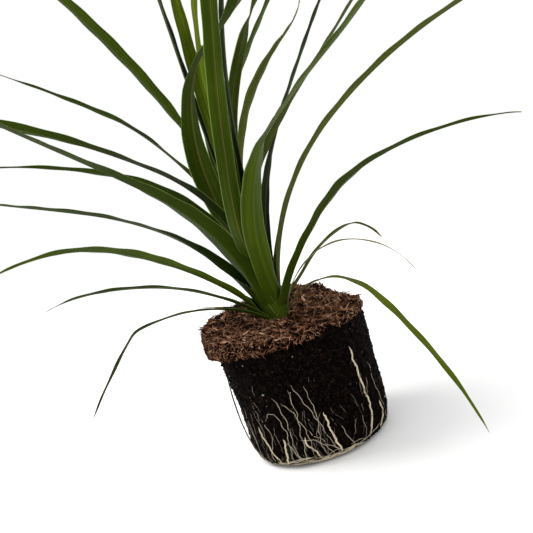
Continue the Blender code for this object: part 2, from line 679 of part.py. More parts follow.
def main() -> None:
    """Build every piece in its place."""
    clear_scene()
    parts = new_collection("potted_cordyline")
    cutters = new_collection("cutters")
    repeats = new_collection("repeats")
    materials = {name: new_material(name) for name in COLOURS}
    cutter = make_stem_cutter(cutters)
    make_root_ball(parts, cutter, materials["soil"])
    make_mulch(parts, repeats, cutter, materials["mulch"])
    make_surface_roots(parts, repeats, materials["root"])
    make_crown(parts, materials["crown"])
    for index, leaf in enumerate(LEAVES, start=1):
        material = materials["leaf_dry" if leaf.dry else "leaf"]
        make_leaf(f"leaf_{index:02d}", leaf, parts, material)
    bpy.data.collections.remove(repeats)


main()
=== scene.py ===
"""A young cordyline on its bare root ball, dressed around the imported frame.

The frame's origin is the centre of the flat underside of the root ball, +Z runs up the
ball's axis, +X to the right and +Y away from the side that most roots show on. Lengths are
metres unless a name or a note says millimetres, and angles in tables are degrees. An azimuth
of 0 points along +X and 90 along +Y.
"""

import logging
import math
import random
from dataclasses import dataclass
from enum import Enum
from typing import NamedTuple, Sequence

import bpy
import numpy as np
from mathutils import Matrix, Vector, noise


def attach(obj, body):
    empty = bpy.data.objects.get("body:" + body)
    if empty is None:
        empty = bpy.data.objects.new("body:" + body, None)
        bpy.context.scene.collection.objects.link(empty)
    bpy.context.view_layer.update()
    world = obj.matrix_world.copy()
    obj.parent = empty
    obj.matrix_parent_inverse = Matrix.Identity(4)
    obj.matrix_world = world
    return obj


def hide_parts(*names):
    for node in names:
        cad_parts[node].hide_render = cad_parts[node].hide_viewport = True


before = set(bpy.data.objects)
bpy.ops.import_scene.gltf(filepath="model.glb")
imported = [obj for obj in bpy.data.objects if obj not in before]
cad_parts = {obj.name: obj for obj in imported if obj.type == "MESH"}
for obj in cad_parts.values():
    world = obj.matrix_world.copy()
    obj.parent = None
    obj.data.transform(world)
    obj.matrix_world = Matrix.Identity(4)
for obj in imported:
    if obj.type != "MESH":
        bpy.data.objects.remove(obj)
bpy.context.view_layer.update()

log = logging.getLogger("cordyline")

MM = 0.001
BODY = "root"

RGB = tuple[float, float, float]
Settings = dict[str, object]
Values = dict[int | str, object]


def smooth_step(value: float) -> float:
    """Smooth step from 0 to 1, flat outside that range."""
    part = min(1.0, max(0.0, value))
    return part * part * (3.0 - 2.0 * part)


def grain(point: Vector, scale: float, octaves: int = 3) -> float:
    """Signed fractal noise at a point.

    Args:
        point: Place in metres.
        scale: Lumps per metre.
        octaves: How many finer layers are added.

    Returns:
        A value of about -1 to 1.
    """
    return noise.fractal(point * scale, 0.9, 2.1, octaves)


def polar(radius: float, angle: float, height: float) -> Vector:
    """Point at a radius and an azimuth in radians round the upright axis."""
    return Vector((radius * math.cos(angle), radius * math.sin(angle), height))


def read_off(profile: Sequence[tuple[float, float]], height: float) -> float:
    """Radius that a table of (height, radius) rows gives at a height."""
    heights, radii = zip(*profile)
    return float(np.interp(height, heights, radii))


class Sock:
    """An output socket that arithmetic can be written with."""

    def __init__(self, work: "NodeWork", socket: bpy.types.NodeSocket) -> None:
        """Keep the socket and the tree that it belongs to."""
        self.work = work
        self.socket = socket

    def __add__(self, other: "Sock | float") -> "Sock":
        """Sum of two values."""
        return self.work.maths("ADD", self, other)

    def __radd__(self, other: float) -> "Sock":
        """Sum of a number and a value."""
        return self.work.maths("ADD", other, self)

    def __sub__(self, other: "Sock | float") -> "Sock":
        """Difference of two values."""
        return self.work.maths("SUBTRACT", self, other)

    def __rsub__(self, other: float) -> "Sock":
        """A number less a value."""
        return self.work.maths("SUBTRACT", other, self)

    def __mul__(self, other: "Sock | float") -> "Sock":
        """Product of two values."""
        return self.work.maths("MULTIPLY", self, other)

    def __rmul__(self, other: float) -> "Sock":
        """Product of a number and a value."""
        return self.work.maths("MULTIPLY", other, self)

    def __abs__(self) -> "Sock":
        """Size of a value without its sign."""
        return self.work.maths("ABSOLUTE", self)

    def step(self, low: float, high: float) -> "Sock":
        """Smooth step from 0 at low to 1 at high."""
        values = {"Value": self, "From Min": low, "From Max": high}
        return self.work.node("ShaderNodeMapRange", {"interpolation_type": "SMOOTHSTEP"}, values)


class NodeWork:
    """What shader trees and geometry trees share: one method makes any node."""

    def __init__(self, tree: bpy.types.NodeTree) -> None:
        """Keep the tree that the nodes go in."""
        self.tree = tree

    def feed(self, socket: bpy.types.NodeSocket, value: object) -> None:
        """Link or set one input socket."""
        if isinstance(value, Sock):
            self.tree.links.new(value.socket, socket)
        else:
            socket.default_value = value

    def node(self, kind: str, settings: Settings | None = None, values: Values | None = None,
             output: int | str = 0) -> Sock:
        """Make a node of any type.

        Args:
            kind: The node's type.
            settings: Its properties, set before its sockets; "stops" fills a colour ramp.
            values: A number, colour or link for each named or numbered input.
            output: The output to return.

        Returns:
            The chosen output.
        """
        made = self.tree.nodes.new(kind)
        for name, value in (settings or {}).items():
            if name == "stops":
                self.fill_ramp(made.color_ramp, value)
            else:
                setattr(made, name, value)
        for name, value in (values or {}).items():
            self.feed(made.inputs[name], value)
        return Sock(self, made.outputs[output] if made.outputs else None)

    def maths(self, operation: str, *values: "Sock | float") -> Sock:
        """One Math node on up to three values."""
        return self.node("ShaderNodeMath", {"operation": operation}, dict(enumerate(values)))

    @staticmethod
    def fill_ramp(ramp: bpy.types.ColorRamp, stops: Sequence[tuple[float, RGB]]) -> None:
        """Give a colour ramp its stops.

        Args:
            ramp: The ramp of a Color Ramp node.
            stops: Position and colour of each stop, in order.
        """
        while len(ramp.elements) < len(stops):
            ramp.elements.new(1.0)
        for element, (position, colour) in zip(ramp.elements, stops):
            element.position = position
            element.color = (*colour, 1.0)


class Finish(NodeWork):
    """A material's node tree, ending in one Principled shader."""

    def __init__(self, name: str) -> None:
        """Make the material and clear its tree."""
        self.material = bpy.data.materials.new(name)
        self.material.use_nodes = True
        super().__init__(self.material.node_tree)
        self.tree.nodes.clear()

    def place(self) -> Sock:
        """Object coordinates."""
        return self.node("ShaderNodeTexCoord", output="Object")

    def attribute(self, name: str) -> Sock:
        """A number kept on the mesh."""
        return self.node("ShaderNodeAttribute", {"attribute_name": name}, output="Fac")

    def noise(self, vector: Sock, scale: float, detail: float = 3.0, roughness: float = 0.55) -> Sock:
        """Noise of a scale in lumps per metre, from 0 to 1."""
        values = {"Vector": vector, "Scale": scale, "Detail": detail, "Roughness": roughness}
        return self.node("ShaderNodeTexNoise", values=values)

    def colour(self, shade: RGB) -> tuple[float, float, float, float]:
        """A colour with its alpha."""
        return (*shade, 1.0)

    def mix(self, factor: Sock | float, first: Sock | RGB, second: Sock | RGB) -> Sock:
        """Mix of two colours.

        Args:
            factor: 0 gives the first colour and 1 the second.
            first: A colour or a link.
            second: A colour or a link.

        Returns:
            The mixed colour.
        """
        colours = [shade if isinstance(shade, Sock) else self.colour(shade) for shade in (first, second)]
        values = {0: factor, 6: colours[0], 7: colours[1]}
        return self.node("ShaderNodeMix", {"data_type": "RGBA"}, values, output=2)

    def bump(self, height: Sock, distance: float, strength: float = 1.0) -> Sock:
        """A bumped normal whose full height is a distance in metres."""
        values = {"Height": height, "Distance": distance, "Strength": strength}
        return self.node("ShaderNodeBump", values=values, output="Normal")

    def close(self, values: Values) -> bpy.types.Material:
        """End the tree in a Principled shader and return the material."""
        shader = self.node("ShaderNodeBsdfPrincipled", values=values)
        self.node("ShaderNodeOutputMaterial", values={"Surface": shader})
        return self.material


@dataclass(frozen=True)
class SoilFinish:
    """Moist, nearly black potting soil with brown and grey grains."""

    dark: RGB = (0.0008, 0.0005, 0.0004)
    brown: RGB = (0.0080, 0.0040, 0.0030)
    grey: RGB = (0.060, 0.048, 0.040)

    def build(self) -> bpy.types.Material:
        """Make the material."""
        work = Finish("moist_soil")
        place = work.place()
        tone = work.attribute("tone")
        clods = work.noise(place, 260.0, 4.0)
        fine = work.noise(place, 1500.0, 3.0)
        flecks = work.noise(place, 900.0, 1.0).step(0.66, 0.72)
        base = work.mix(clods.step(0.45, 0.72), self.dark, self.brown)
        base = work.mix(flecks * 0.45, base, self.grey)
        base = work.mix(tone.step(0.72, 1.0) * 0.75, base, self.brown)
        base = work.mix(tone.step(0.94, 0.98) * 0.55, base, self.grey)
        rough = 0.50 + fine * 0.40
        normal = work.bump(clods * 0.6 + fine * 0.5, 0.0011)
        return work.close({"Base Color": base, "Roughness": rough, "Normal": normal,
                           "Specular IOR Level": 0.015})


@dataclass(frozen=True)
class CoirFinish:
    """Coarse brown coconut fibre; a tone attribute from 0 to 1 varies each strand. The near-black low end of
    the ramp is painted shade for the hollows between strands.
    """

    # Near-black: painted shade for the hollows between strands. The mat takes it, and so do the lowest-toned
    # strands and the fine streaks in each strand.
    dark: RGB = (0.0025, 0.0011, 0.0008)
    warm: RGB = (0.185, 0.078, 0.042)
    tan: RGB = (0.400, 0.205, 0.115)
    pale: RGB = (0.680, 0.470, 0.320)

    def build(self) -> bpy.types.Material:
        """Make the material."""
        work = Finish("coir_fibre")
        place = work.place()
        tone = work.attribute("tone")
        patches = work.noise(place, 90.0, 3.0)
        fibre = work.noise(place, 1900.0, 2.0)
        shade = tone * 0.92 + (patches - 0.5) * 0.80 + 0.02
        base = work.node("ShaderNodeValToRGB", {"stops": self.stops()}, {"Fac": shade})
        base = work.mix(fibre.step(0.45, 0.75) * 0.35, base, self.dark)
        normal = work.bump(fibre, 0.0004)
        return work.close({"Base Color": base, "Roughness": 0.80, "Normal": normal,
                           "Specular IOR Level": 0.02})

    def stops(self) -> tuple[tuple[float, RGB], ...]:
        """Stops of the ramp from the near-black painted shade of the hollows to the palest strand."""
        return ((0.0, self.dark), (0.22, self.dark), (0.58, self.warm), (0.86, self.tan),
                (1.0, self.pale))


@dataclass(frozen=True)
class RootFinish:
    """Cream living roots with browner, soil-stained stretches."""

    cream: RGB = (0.560, 0.480, 0.330)
    grey: RGB = (0.120, 0.108, 0.096)
    stain: RGB = (0.060, 0.034, 0.020)

    def build(self) -> bpy.types.Material:
        """Make the material."""
        work = Finish("pale_root")
        place = work.place()
        tone = work.attribute("tone")
        stains = work.noise(place, 140.0, 3.0)
        fine = work.noise(place, 1600.0, 2.0)
        base = work.mix(tone, self.grey, self.cream)
        base = work.mix(stains.step(0.50, 0.72) * 0.65, base, self.stain)
        normal = work.bump(fine, 0.0003)
        return work.close({"Base Color": base, "Roughness": 0.62 + fine * 0.2, "Normal": normal,
                           "Specular IOR Level": 0.15})


@dataclass(frozen=True)
class MineralFinish:
    """Dull pale grit such as perlite."""

    pale: RGB = (0.42, 0.44, 0.34)
    green: RGB = (0.16, 0.21, 0.08)

    def build(self) -> bpy.types.Material:
        """Make the material."""
        work = Finish("pale_grit")
        pits = work.noise(work.place(), 1400.0, 3.0)
        base = work.mix(work.attribute("tone"), self.green, self.pale)
        normal = work.bump(pits, 0.0005)
        return work.close({"Base Color": base, "Roughness": 0.9, "Normal": normal})


@dataclass(frozen=True)
class BladeFinish:
    """A strap leaf: lengthwise ribs, a midrib, pale margins that are partly a painted highlight along the
    rim, and a paler clasping base.

    It reads the blade's own UV map, across from 0 to 1 and along from 0 at the seat to 1 at
    the tip, and two numbers on the mesh: "under", 1 on the lower face, and "tone", the
    leaf's own shade.
    """

    name: str
    deep: RGB
    green: RGB
    light: RGB
    # Pale edge colour: partly the leaf's pale rim and partly a painted highlight along it.
    pale_edge_and_highlight: RGB = (0.205, 0.285, 0.070)
    midrib: RGB = (0.060, 0.088, 0.014)
    dry: RGB = (0.230, 0.150, 0.070)
    roughness: float = 0.40
    tip_from: float = 0.97
    midrib_share: float = 0.5
    edge_and_highlight_share: float = 0.80
    gloss: float = 0.02
    husk: RGB = (0.110, 0.075, 0.040)
    husk_share: float = 0.0

    def build(self) -> bpy.types.Material:
        """Make the material."""
        work = Finish(self.name)
        place = work.place()
        parts = work.node("ShaderNodeSeparateXYZ",
                          values={0: work.node("ShaderNodeUVMap", {"uv_map": "blade"})})
        across = Sock(work, parts.socket.node.outputs[0])
        along = Sock(work, parts.socket.node.outputs[1])
        under = work.attribute("under")
        tone = work.attribute("tone")
        off_middle = abs(across - 0.5) * 2.0

        ribs = work.noise(self.stretched(work, across, along, tone, 34.0, 1.6), 1.0, 2.0, 0.6)
        fine = work.noise(self.stretched(work, across, along, tone, 110.0, 3.0), 1.0, 2.0, 0.6)
        stripes = work.noise(self.stretched(work, across, along, tone, 13.0, 1.1), 1.0, 1.0, 0.5)
        clouds = work.noise(place, 26.0, 3.0)
        bands = work.noise(self.stretched(work, across, along, tone, 5.0, 4.0), 1.0, 2.0, 0.5)

        shade = ribs * 0.40 + stripes * 0.55 + clouds * 0.35 + bands * 0.30 + tone * 0.35 - 0.58
        base = work.mix(shade.step(0.05, 0.75), self.deep, self.green)
        base = work.mix((shade - 0.25).step(0.05, 0.60) * 0.85, base, self.light)
        base = work.mix(fine.step(0.55, 0.78) * 0.22, base, self.light)
        base = work.mix(under * 0.25, base, self.light)
        middle = (1.0 - off_middle.step(0.02, 0.11)) * self.midrib_share
        base = work.mix(middle * (1.0 - along.step(0.75, 0.95)), base, self.midrib)
        # Pale band along both edges: partly the real pale rim, partly a painted highlight.
        edge = off_middle.step(0.91, 0.97) * self.edge_and_highlight_share
        base = work.mix(edge, base, self.pale_edge_and_highlight)
        clasp = (1.0 - along.step(-0.01, 0.10)) * 0.35
        base = work.mix(clasp, base, self.light)
        base = work.mix((1.0 - along.step(0.12, 0.36)) * self.husk_share, base, self.husk)
        wear = work.noise(place, 300.0, 2.0)
        tip = (along + (wear - 0.5) * 0.03).step(self.tip_from, self.tip_from + 0.02)
        base = work.mix(tip, base, self.dry)

        rough = self.roughness + ribs * 0.16 + tip * 0.35
        height = ribs * 0.7 + fine * 0.35 - middle * 0.3
        normal = work.bump(height, 0.00035)
        return work.close({"Base Color": base, "Roughness": rough, "Normal": normal,
                           "Specular IOR Level": self.gloss, "Subsurface Weight": 0.06,
                           "Subsurface Scale": 0.002, "Subsurface Radius": (0.6, 1.0, 0.3)})

    @staticmethod
    def stretched(work: Finish, across: Sock, along: Sock, tone: Sock, wide: float,
                  long: float) -> Sock:
        """Coordinates for noise that is drawn out along the blade.

        Args:
            work: The tree in hand.
            across: The blade's coordinate from edge to edge.
            along: The blade's coordinate from seat to tip.
            tone: The leaf's own number, which moves the pattern.
            wide: Lumps from edge to edge.
            long: Lumps from seat to tip.

        Returns:
            A vector for a noise texture.
        """
        values = {0: across * wide, 1: along * long, 2: tone * 37.0}
        return work.node("ShaderNodeCombineXYZ", values=values)


class Tone(Enum):
    """The leaf finishes that the plant shows. The deep and the bright finish are darker and lighter copies
    of the mid green: painted shade on leaves turned away from the light and painted light on leaves that it
    falls on or shines through.
    """

    # Painted shade: the mid green darkened for leaves that face away from the light.
    PAINTED_SHADE_GREEN = BladeFinish("leaf_painted_shade", (0.0030, 0.0068, 0.0003), (0.0105, 0.0200, 0.0007),
                       (0.044, 0.068, 0.004))
    MID = BladeFinish("leaf_mid", (0.0048, 0.0098, 0.0004), (0.0165, 0.0300, 0.0008),
                      (0.066, 0.098, 0.005))
    # Painted light: the mid green lightened for leaves that the light falls on or shines through.
    PAINTED_LIGHT_GREEN = BladeFinish("leaf_painted_light", (0.0200, 0.0350, 0.0008), (0.0720, 0.1100, 0.0030),
                         (0.210, 0.270, 0.018))
    BROAD = BladeFinish("leaf_broad", (0.0046, 0.0088, 0.0004), (0.0165, 0.0300, 0.0008),
                        (0.068, 0.102, 0.005),
                        midrib=(0.130, 0.115, 0.032), midrib_share=0.55)
    OLIVE = BladeFinish("leaf_olive", (0.0100, 0.0150, 0.0010), (0.0340, 0.0450, 0.0040),
                        (0.105, 0.128, 0.018), tip_from=0.93)
    LIME = BladeFinish("leaf_lime", (0.0450, 0.0680, 0.0020), (0.1400, 0.1800, 0.0080),
                       (0.330, 0.380, 0.040), tip_from=0.96, husk_share=0.85)
    DRY = BladeFinish("leaf_straw", (0.1500, 0.1200, 0.0550), (0.2800, 0.2500, 0.1450),
                      (0.440, 0.410, 0.280), midrib_share=0.0, roughness=0.6)
    STUB = BladeFinish("leaf_stub", (0.0040, 0.0050, 0.0020), (0.0120, 0.0130, 0.0060),
                       (0.060, 0.055, 0.028), roughness=0.6, tip_from=0.6)


@dataclass(frozen=True)
class FloorFinish:
    """A pale studio floor that fades into the backdrop with distance from the plant."""

    shade: RGB = (0.90, 0.90, 0.90)
    fade_from: float = 0.55
    fade_to: float = 1.45

    def build(self) -> bpy.types.Material:
        """Make the material."""
        work = Finish("studio_floor")
        reach = work.node("ShaderNodeVectorMath", {"operation": "LENGTH"}, {0: work.place()},
                          output="Value")
        matt = work.node("ShaderNodeBsdfPrincipled",
                         values={"Base Color": work.colour(self.shade), "Roughness": 0.9,
                                 "Specular IOR Level": 0.1})
        clear = work.node("ShaderNodeBsdfTransparent")
        far = reach.step(self.fade_from, self.fade_to)
        mixed = work.node("ShaderNodeMixShader", values={0: far, 1: matt, 2: clear})
        work.node("ShaderNodeOutputMaterial", values={"Surface": mixed})
        return work.material


class ShapeTree(NodeWork):
    """A geometry tree with named sizes, ending in Realize Instances and Set Material."""

    def __init__(self, name: str, sizes: dict[str, tuple[str, object]]) -> None:
        """Open the tree.

        Args:
            name: The tree's name.
            sizes: Socket type and default of each named input.
        """
        super().__init__(bpy.data.node_groups.new(name, "GeometryNodeTree"))
        face = self.tree.interface
        face.new_socket("Geometry", in_out="INPUT", socket_type="NodeSocketGeometry")
        self.keys: dict[str, str] = {}
        for label, (kind, default) in sizes.items():
            item = face.new_socket(label, in_out="INPUT", socket_type=kind)
            item.default_value = default
            self.keys[label] = item.identifier
        face.new_socket("Geometry", in_out="OUTPUT", socket_type="NodeSocketGeometry")
        self.entry = self.tree.nodes.new("NodeGroupInput")

    def given(self, label: str) -> Sock:
        """The named input."""
        return Sock(self, self.entry.outputs[label])

    def close(self, shape: Sock, material: bpy.types.Material, smooth: bool) -> None:
        """Realize, shade and paint a shape, and end the tree.

        Args:
            shape: The geometry so far.
            material: Its finish.
            smooth: Whether the faces are shaded smooth.
        """
        shape = self.node("GeometryNodeRealizeInstances", values={"Geometry": shape})
        shape = self.node("GeometryNodeSetShadeSmooth", values={"Geometry": shape, "Shade Smooth": smooth})
        shape = self.node("GeometryNodeSetMaterial", values={"Geometry": shape, "Material": material})
        out = self.tree.nodes.new("NodeGroupOutput")
        self.feed(out.inputs[0], shape)

    def grow(self, carrier: bpy.types.Mesh, values: dict[str, object]) -> bpy.types.Mesh:
        """Run the tree on a mesh.

        Args:
            carrier: The mesh that the shape grows from.
            values: A value for each named input that departs from its default.

        Returns:
            The result as a plain mesh.
        """
        holder = link("carrier", carrier)
        modifier = holder.modifiers.new("grow", "NODES")
        modifier.node_group = self.tree
        for label, value in values.items():
            modifier[self.keys[label]] = value
        graph = bpy.context.evaluated_depsgraph_get()
        mesh = bpy.data.meshes.new_from_object(holder.evaluated_get(graph), depsgraph=graph)
        holder.modifiers.remove(modifier)
        bpy.data.objects.remove(holder, do_unlink=True)
        return mesh


def link(name: str, data: bpy.types.ID) -> bpy.types.Object:
    """Put an object that carries some data in the scene."""
    thing = bpy.data.objects.new(name, data)
    bpy.context.scene.collection.objects.link(thing)
    return thing


def add_piece(name: str, mesh: bpy.types.Mesh, replaced: Sequence[str] = ()) -> None:
    """Put a finished piece in the scene.

    Args:
        name: The piece's name.
        mesh: Its mesh, with its place in its vertices and its material set.
        replaced: CAD nodes that it stands for.
    """
    mesh.name = name
    piece = link(name, mesh)
    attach(piece, BODY)
    if replaced:
        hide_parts(*replaced)
    log.info("%s: %d faces", name, len(mesh.polygons))


def set_tone(mesh: bpy.types.Mesh, name: str, values: Sequence[float]) -> None:
    """Keep one number on each vertex of a mesh."""
    layer = mesh.attributes.new(name, "FLOAT", "POINT")
    layer.data.foreach_set("value", np.asarray(values, np.float32))


def shell_mesh(name: str, rings: Sequence[Sequence[Vector]], capped: bool = True) -> bpy.types.Mesh:
    """Skin a stack of closed rings, each counter-clockwise seen from above when it rises.

    Args:
        name: The mesh's name.
        rings: Rings with the same number of points.
        capped: Whether the first and last ring are closed with a fan.

    Returns:
        A mesh whose faces point outward.
    """
    sides = len(rings[0])
    points = [tuple(point) for ring in rings for point in ring]
    faces = []
    for row in range(len(rings) - 1):
        for side in range(sides):
            after = (side + 1) % sides
            low = row * sides
            high = low + sides
            faces.append((low + side, low + after, high + after, high + side))
    if capped:
        for row, turn in ((0, -1), (len(rings) - 1, 1)):
            middle = sum(rings[row], Vector()) / sides
            points.append(tuple(middle))
            for side in range(sides):
                pair = (row * sides + side, row * sides + (side + 1) % sides)
                faces.append((*pair[::turn], len(points) - 1))
    mesh = bpy.data.meshes.new(name)
    mesh.from_pydata(points, [], faces)
    mesh.update()
    return mesh


def shade_smooth(mesh: bpy.types.Mesh) -> None:
    """Shade every face of a mesh smooth."""
    mesh.polygons.foreach_set("use_smooth", [True] * len(mesh.polygons))


def set_blade_map(mesh: bpy.types.Mesh, across: Sequence[float], along: Sequence[float]) -> None:
    """Give a mesh the UV map that the leaf finishes read.

    Args:
        mesh: The mesh.
        across: For each vertex, its place from edge to edge, 0 to 1.
        along: For each vertex, its place from seat to tip, 0 to 1.
    """
    layer = mesh.uv_layers.new(name="blade")
    corners = np.empty(len(mesh.loops), np.int32)
    mesh.loops.foreach_get("vertex_index", corners)
    pairs = np.column_stack((np.array(across)[corners], np.array(along)[corners]))
    layer.data.foreach_set("uv", pairs.astype(np.float32).ravel())


def dress(mesh: bpy.types.Mesh, material: bpy.types.Material, tone: float) -> None:
    """Give a smooth mesh its material and one tone all over."""
    set_tone(mesh, "tone", [tone] * len(mesh.vertices))
    mesh.materials.append(material)
    shade_smooth(mesh)


@dataclass
class BallShape:
    """The moulded outline that the soil, the mulch and the roots share."""

    profile: tuple[tuple[float, float], ...] = (
        (0.0, 0.052), (0.004, 0.0600), (0.014, 0.0630), (0.030, 0.0640),
        (0.048, 0.0648), (0.066, 0.0653), (0.082, 0.0658), (0.095, 0.0662))
    soil_top: float = 0.0975
    mulch_radius: float = 0.0705
    mulch_x: float = -0.004
    mulch_top: float = 0.119
    mulch_slope: tuple[float, float] = (-0.085, 0.030)
    bowl_depth: float = 0.0012
    bowl_reach: float = 0.020
    lump_height: float = 0.0009
    bulge_depth: float = 0.0026
    bulge_span: float = 0.45
    foot_fade: float = 0.010
    worn_azimuth: float = 183.0
    worn_span: float = 15.0
    worn_height: float = 0.050
    worn_rise: float = 0.022
    worn_depth: float = 0.0030
    seam_reach: float = 0.066
    stem_x: float = -0.006
    mounds: tuple[tuple[float, float, float, float], ...] = (
        (0.015, 0.055, 0.030, 0.0065), (0.060, 0.030, 0.022, -0.0048))
    seam_peak: float = 275.0
    seam_lift: float = 0.0025
    seam_swing: float = 0.0060
    notch_azimuth: float = 298.0
    notch_span: float = 4.5
    notch_depth: float = 0.0070

    def side(self, angle: float, height: float) -> float:
        """Radius of the soil's side at an azimuth in radians."""
        radius = read_off(self.profile, height)
        fade = min(1.0, height / self.foot_fade)
        bumps = 0.00035 * math.sin(5 * angle + 90.0 * height)
        bumps += 0.00025 * math.sin(9 * angle - 60.0 * height)
        turn = (math.degrees(angle) - self.worn_azimuth + 180.0) % 360.0 - 180.0
        rise = (height - self.worn_height) / self.worn_rise
        worn = self.worn_depth * math.exp(-(turn / self.worn_span) ** 2 - rise ** 2)
        return radius + fade * (bumps - worn)

    def seam(self, x: float, y: float) -> float:
        """Height of the uneven face between soil and mulch."""
        spread = (math.hypot(x, y) / self.seam_reach) ** 2
        azimuth = math.degrees(math.atan2(y, x)) % 360.0
        rim = self.seam_lift + self.seam_swing * math.cos(math.radians(azimuth - self.seam_peak))
        torn = self.notch_depth * math.exp(-((azimuth - self.notch_azimuth) / self.notch_span) ** 2)
        return self.soil_top + self.seam_lift + spread * rim + spread ** 4 * torn

    def top(self, x: float, y: float) -> float:
        """Height of the mulch's upper face."""
        reach = math.hypot(x - self.stem_x, y)
        bowl = self.bowl_depth * math.exp(-(reach / self.bowl_reach) ** 2)
        lumps = self.lump_height * math.sin(150.0 * x + 1.0) * math.sin(130.0 * y + 0.4)
        mounds = sum(height * math.exp(-((x - east) ** 2 + (y - north) ** 2) / span ** 2)
                     for east, north, span, height in self.mounds)
        east, north = self.mulch_slope
        return self.mulch_top + east * (x - self.mulch_x) + north * y + lumps - bowl + mounds

    def mulch_edge(self, angle: float) -> float:
        """Ragged radius of the mulch at an azimuth in radians."""
        ragged = 0.0014 * math.sin(3 * angle + 1.0) + 0.0009 * math.sin(7 * angle + 0.3)
        left = self.bulge_depth * math.exp(-((angle % math.tau - math.pi) / self.bulge_span) ** 2)
        return self.mulch_radius + ragged + left + 0.0006 * math.sin(13 * angle + 2.0)


class ScatterKind(Enum):
    """What is strewn over a surface."""

    CRUMB = "crumb"
    FIBRE = "fibre"
    SPLINTER = "splinter"
    CHIP = "chip"


@dataclass
class Strewing:
    """Small repeated shapes on a surface, placed by a Geometry Nodes tree."""

    kind: ScatterKind
    density: float
    shortest: float
    longest: float
    seed: int
    tilt: float
    sink: float
    slimmest: RGB = (0.75, 0.55, 0.55)
    stoutest: RGB = (1.0, 1.25, 1.25)

    def shape(self, tree: ShapeTree) -> Sock:
        """The repeated shape, one unit long."""
        if self.kind is ScatterKind.CRUMB:
            return tree.node("GeometryNodeMeshIcoSphere", values={"Radius": 0.5, "Subdivisions": 1})
        thin = self.kind is ScatterKind.FIBRE
        bend = (0.20, 0.16) if thin else (0.07, 0.05)
        arc = {"Resolution": 5 if thin else 3, "Start": (-0.5, 0.0, -0.02), "Middle": (0.0, *bend),
               "End": (0.5, 0.0, -0.02)}
        line = tree.node("GeometryNodeCurveQuadraticBezier", values=arc)
        radius = {ScatterKind.FIBRE: 0.020, ScatterKind.SPLINTER: 0.055, ScatterKind.CHIP: 0.16}[self.kind]
        ring = tree.node("GeometryNodeCurvePrimitiveCircle", values={"Resolution": 4, "Radius": radius})
        along = abs(tree.node("GeometryNodeSplineParameter") * 2.0 - 1.0)
        taper = 1.0 - along * along * along * 0.75
        return tree.node("GeometryNodeCurveToMesh",
                         values={"Curve": line, "Profile Curve": ring, "Scale": taper, "Fill Caps": True})

    def build(self, carrier: bpy.types.Mesh, material: bpy.types.Material) -> bpy.types.Mesh:
        """Strew the shape over a mesh.

        Args:
            carrier: The surface.
            material: The finish of the small shapes.

        Returns:
            One mesh that holds them all.
        """
        tree = ShapeTree(f"strew_{self.kind.value}_{self.seed}", {
            "Density": ("NodeSocketFloat", 1000.0),
            "Seed": ("NodeSocketInt", 0),
            "Shortest": ("NodeSocketFloat", 0.001),
            "Longest": ("NodeSocketFloat", 0.002),
            "Tilt": ("NodeSocketFloat", 0.2),
            "Sink": ("NodeSocketFloat", 0.0),
        })
        seed = tree.given("Seed")
        strewn = tree.node("GeometryNodeDistributePointsOnFaces",
                           values={"Mesh": tree.given("Geometry"), "Density": tree.given("Density"),
                                   "Seed": seed})
        spread = strewn.socket.node
        normal = Sock(tree, spread.outputs["Normal"])
        turned = Sock(tree, spread.outputs["Rotation"])
        tilt = tree.given("Tilt")
        low = tree.node("ShaderNodeCombineXYZ", values={0: tilt * -1.0, 1: tilt * -1.0, 2: 0.0})
        high = tree.node("ShaderNodeCombineXYZ", values={0: tilt, 1: tilt, 2: math.tau})
        spin = tree.node("FunctionNodeRandomValue", {"data_type": "FLOAT_VECTOR"},
                         {0: low, 1: high, "Seed": seed + 1.0})
        lying = tree.node("FunctionNodeRotateRotation", {"rotation_space": "LOCAL"},
                          {0: turned, 1: tree.node("FunctionNodeEulerToRotation", values={0: spin})})
        size = tree.node("FunctionNodeRandomValue", {"data_type": "FLOAT"},
                         {2: tree.given("Shortest"), 3: tree.given("Longest"), "Seed": seed + 2.0}, output=1)
        slack = tree.node("FunctionNodeRandomValue", {"data_type": "FLOAT_VECTOR"},
                          {0: self.slimmest, 1: self.stoutest, "Seed": seed + 3.0})
        scale = tree.node("ShaderNodeVectorMath", {"operation": "SCALE"}, {0: slack, "Scale": size})
        shift = tree.node("ShaderNodeVectorMath", {"operation": "SCALE"},
                          {0: normal, "Scale": tree.given("Sink") * -1.0})
        points = tree.node("GeometryNodeSetPosition", values={"Geometry": strewn, "Offset": shift})
        placed = tree.node("GeometryNodeInstanceOnPoints",
                           values={"Points": points, "Instance": self.shape(tree), "Rotation": lying,
                                   "Scale": scale})
        tone = tree.node("FunctionNodeRandomValue", {"data_type": "FLOAT"}, {"Seed": seed + 4.0}, output=1)
        toned = tree.node("GeometryNodeStoreNamedAttribute", {"data_type": "FLOAT", "domain": "INSTANCE"},
                          {"Geometry": placed, "Name": "tone", "Value": tone})
        tree.close(toned, material, smooth=False)
        return tree.grow(carrier, {"Density": self.density, "Seed": self.seed, "Shortest": self.shortest,
                                   "Longest": self.longest, "Tilt": self.tilt, "Sink": self.sink})


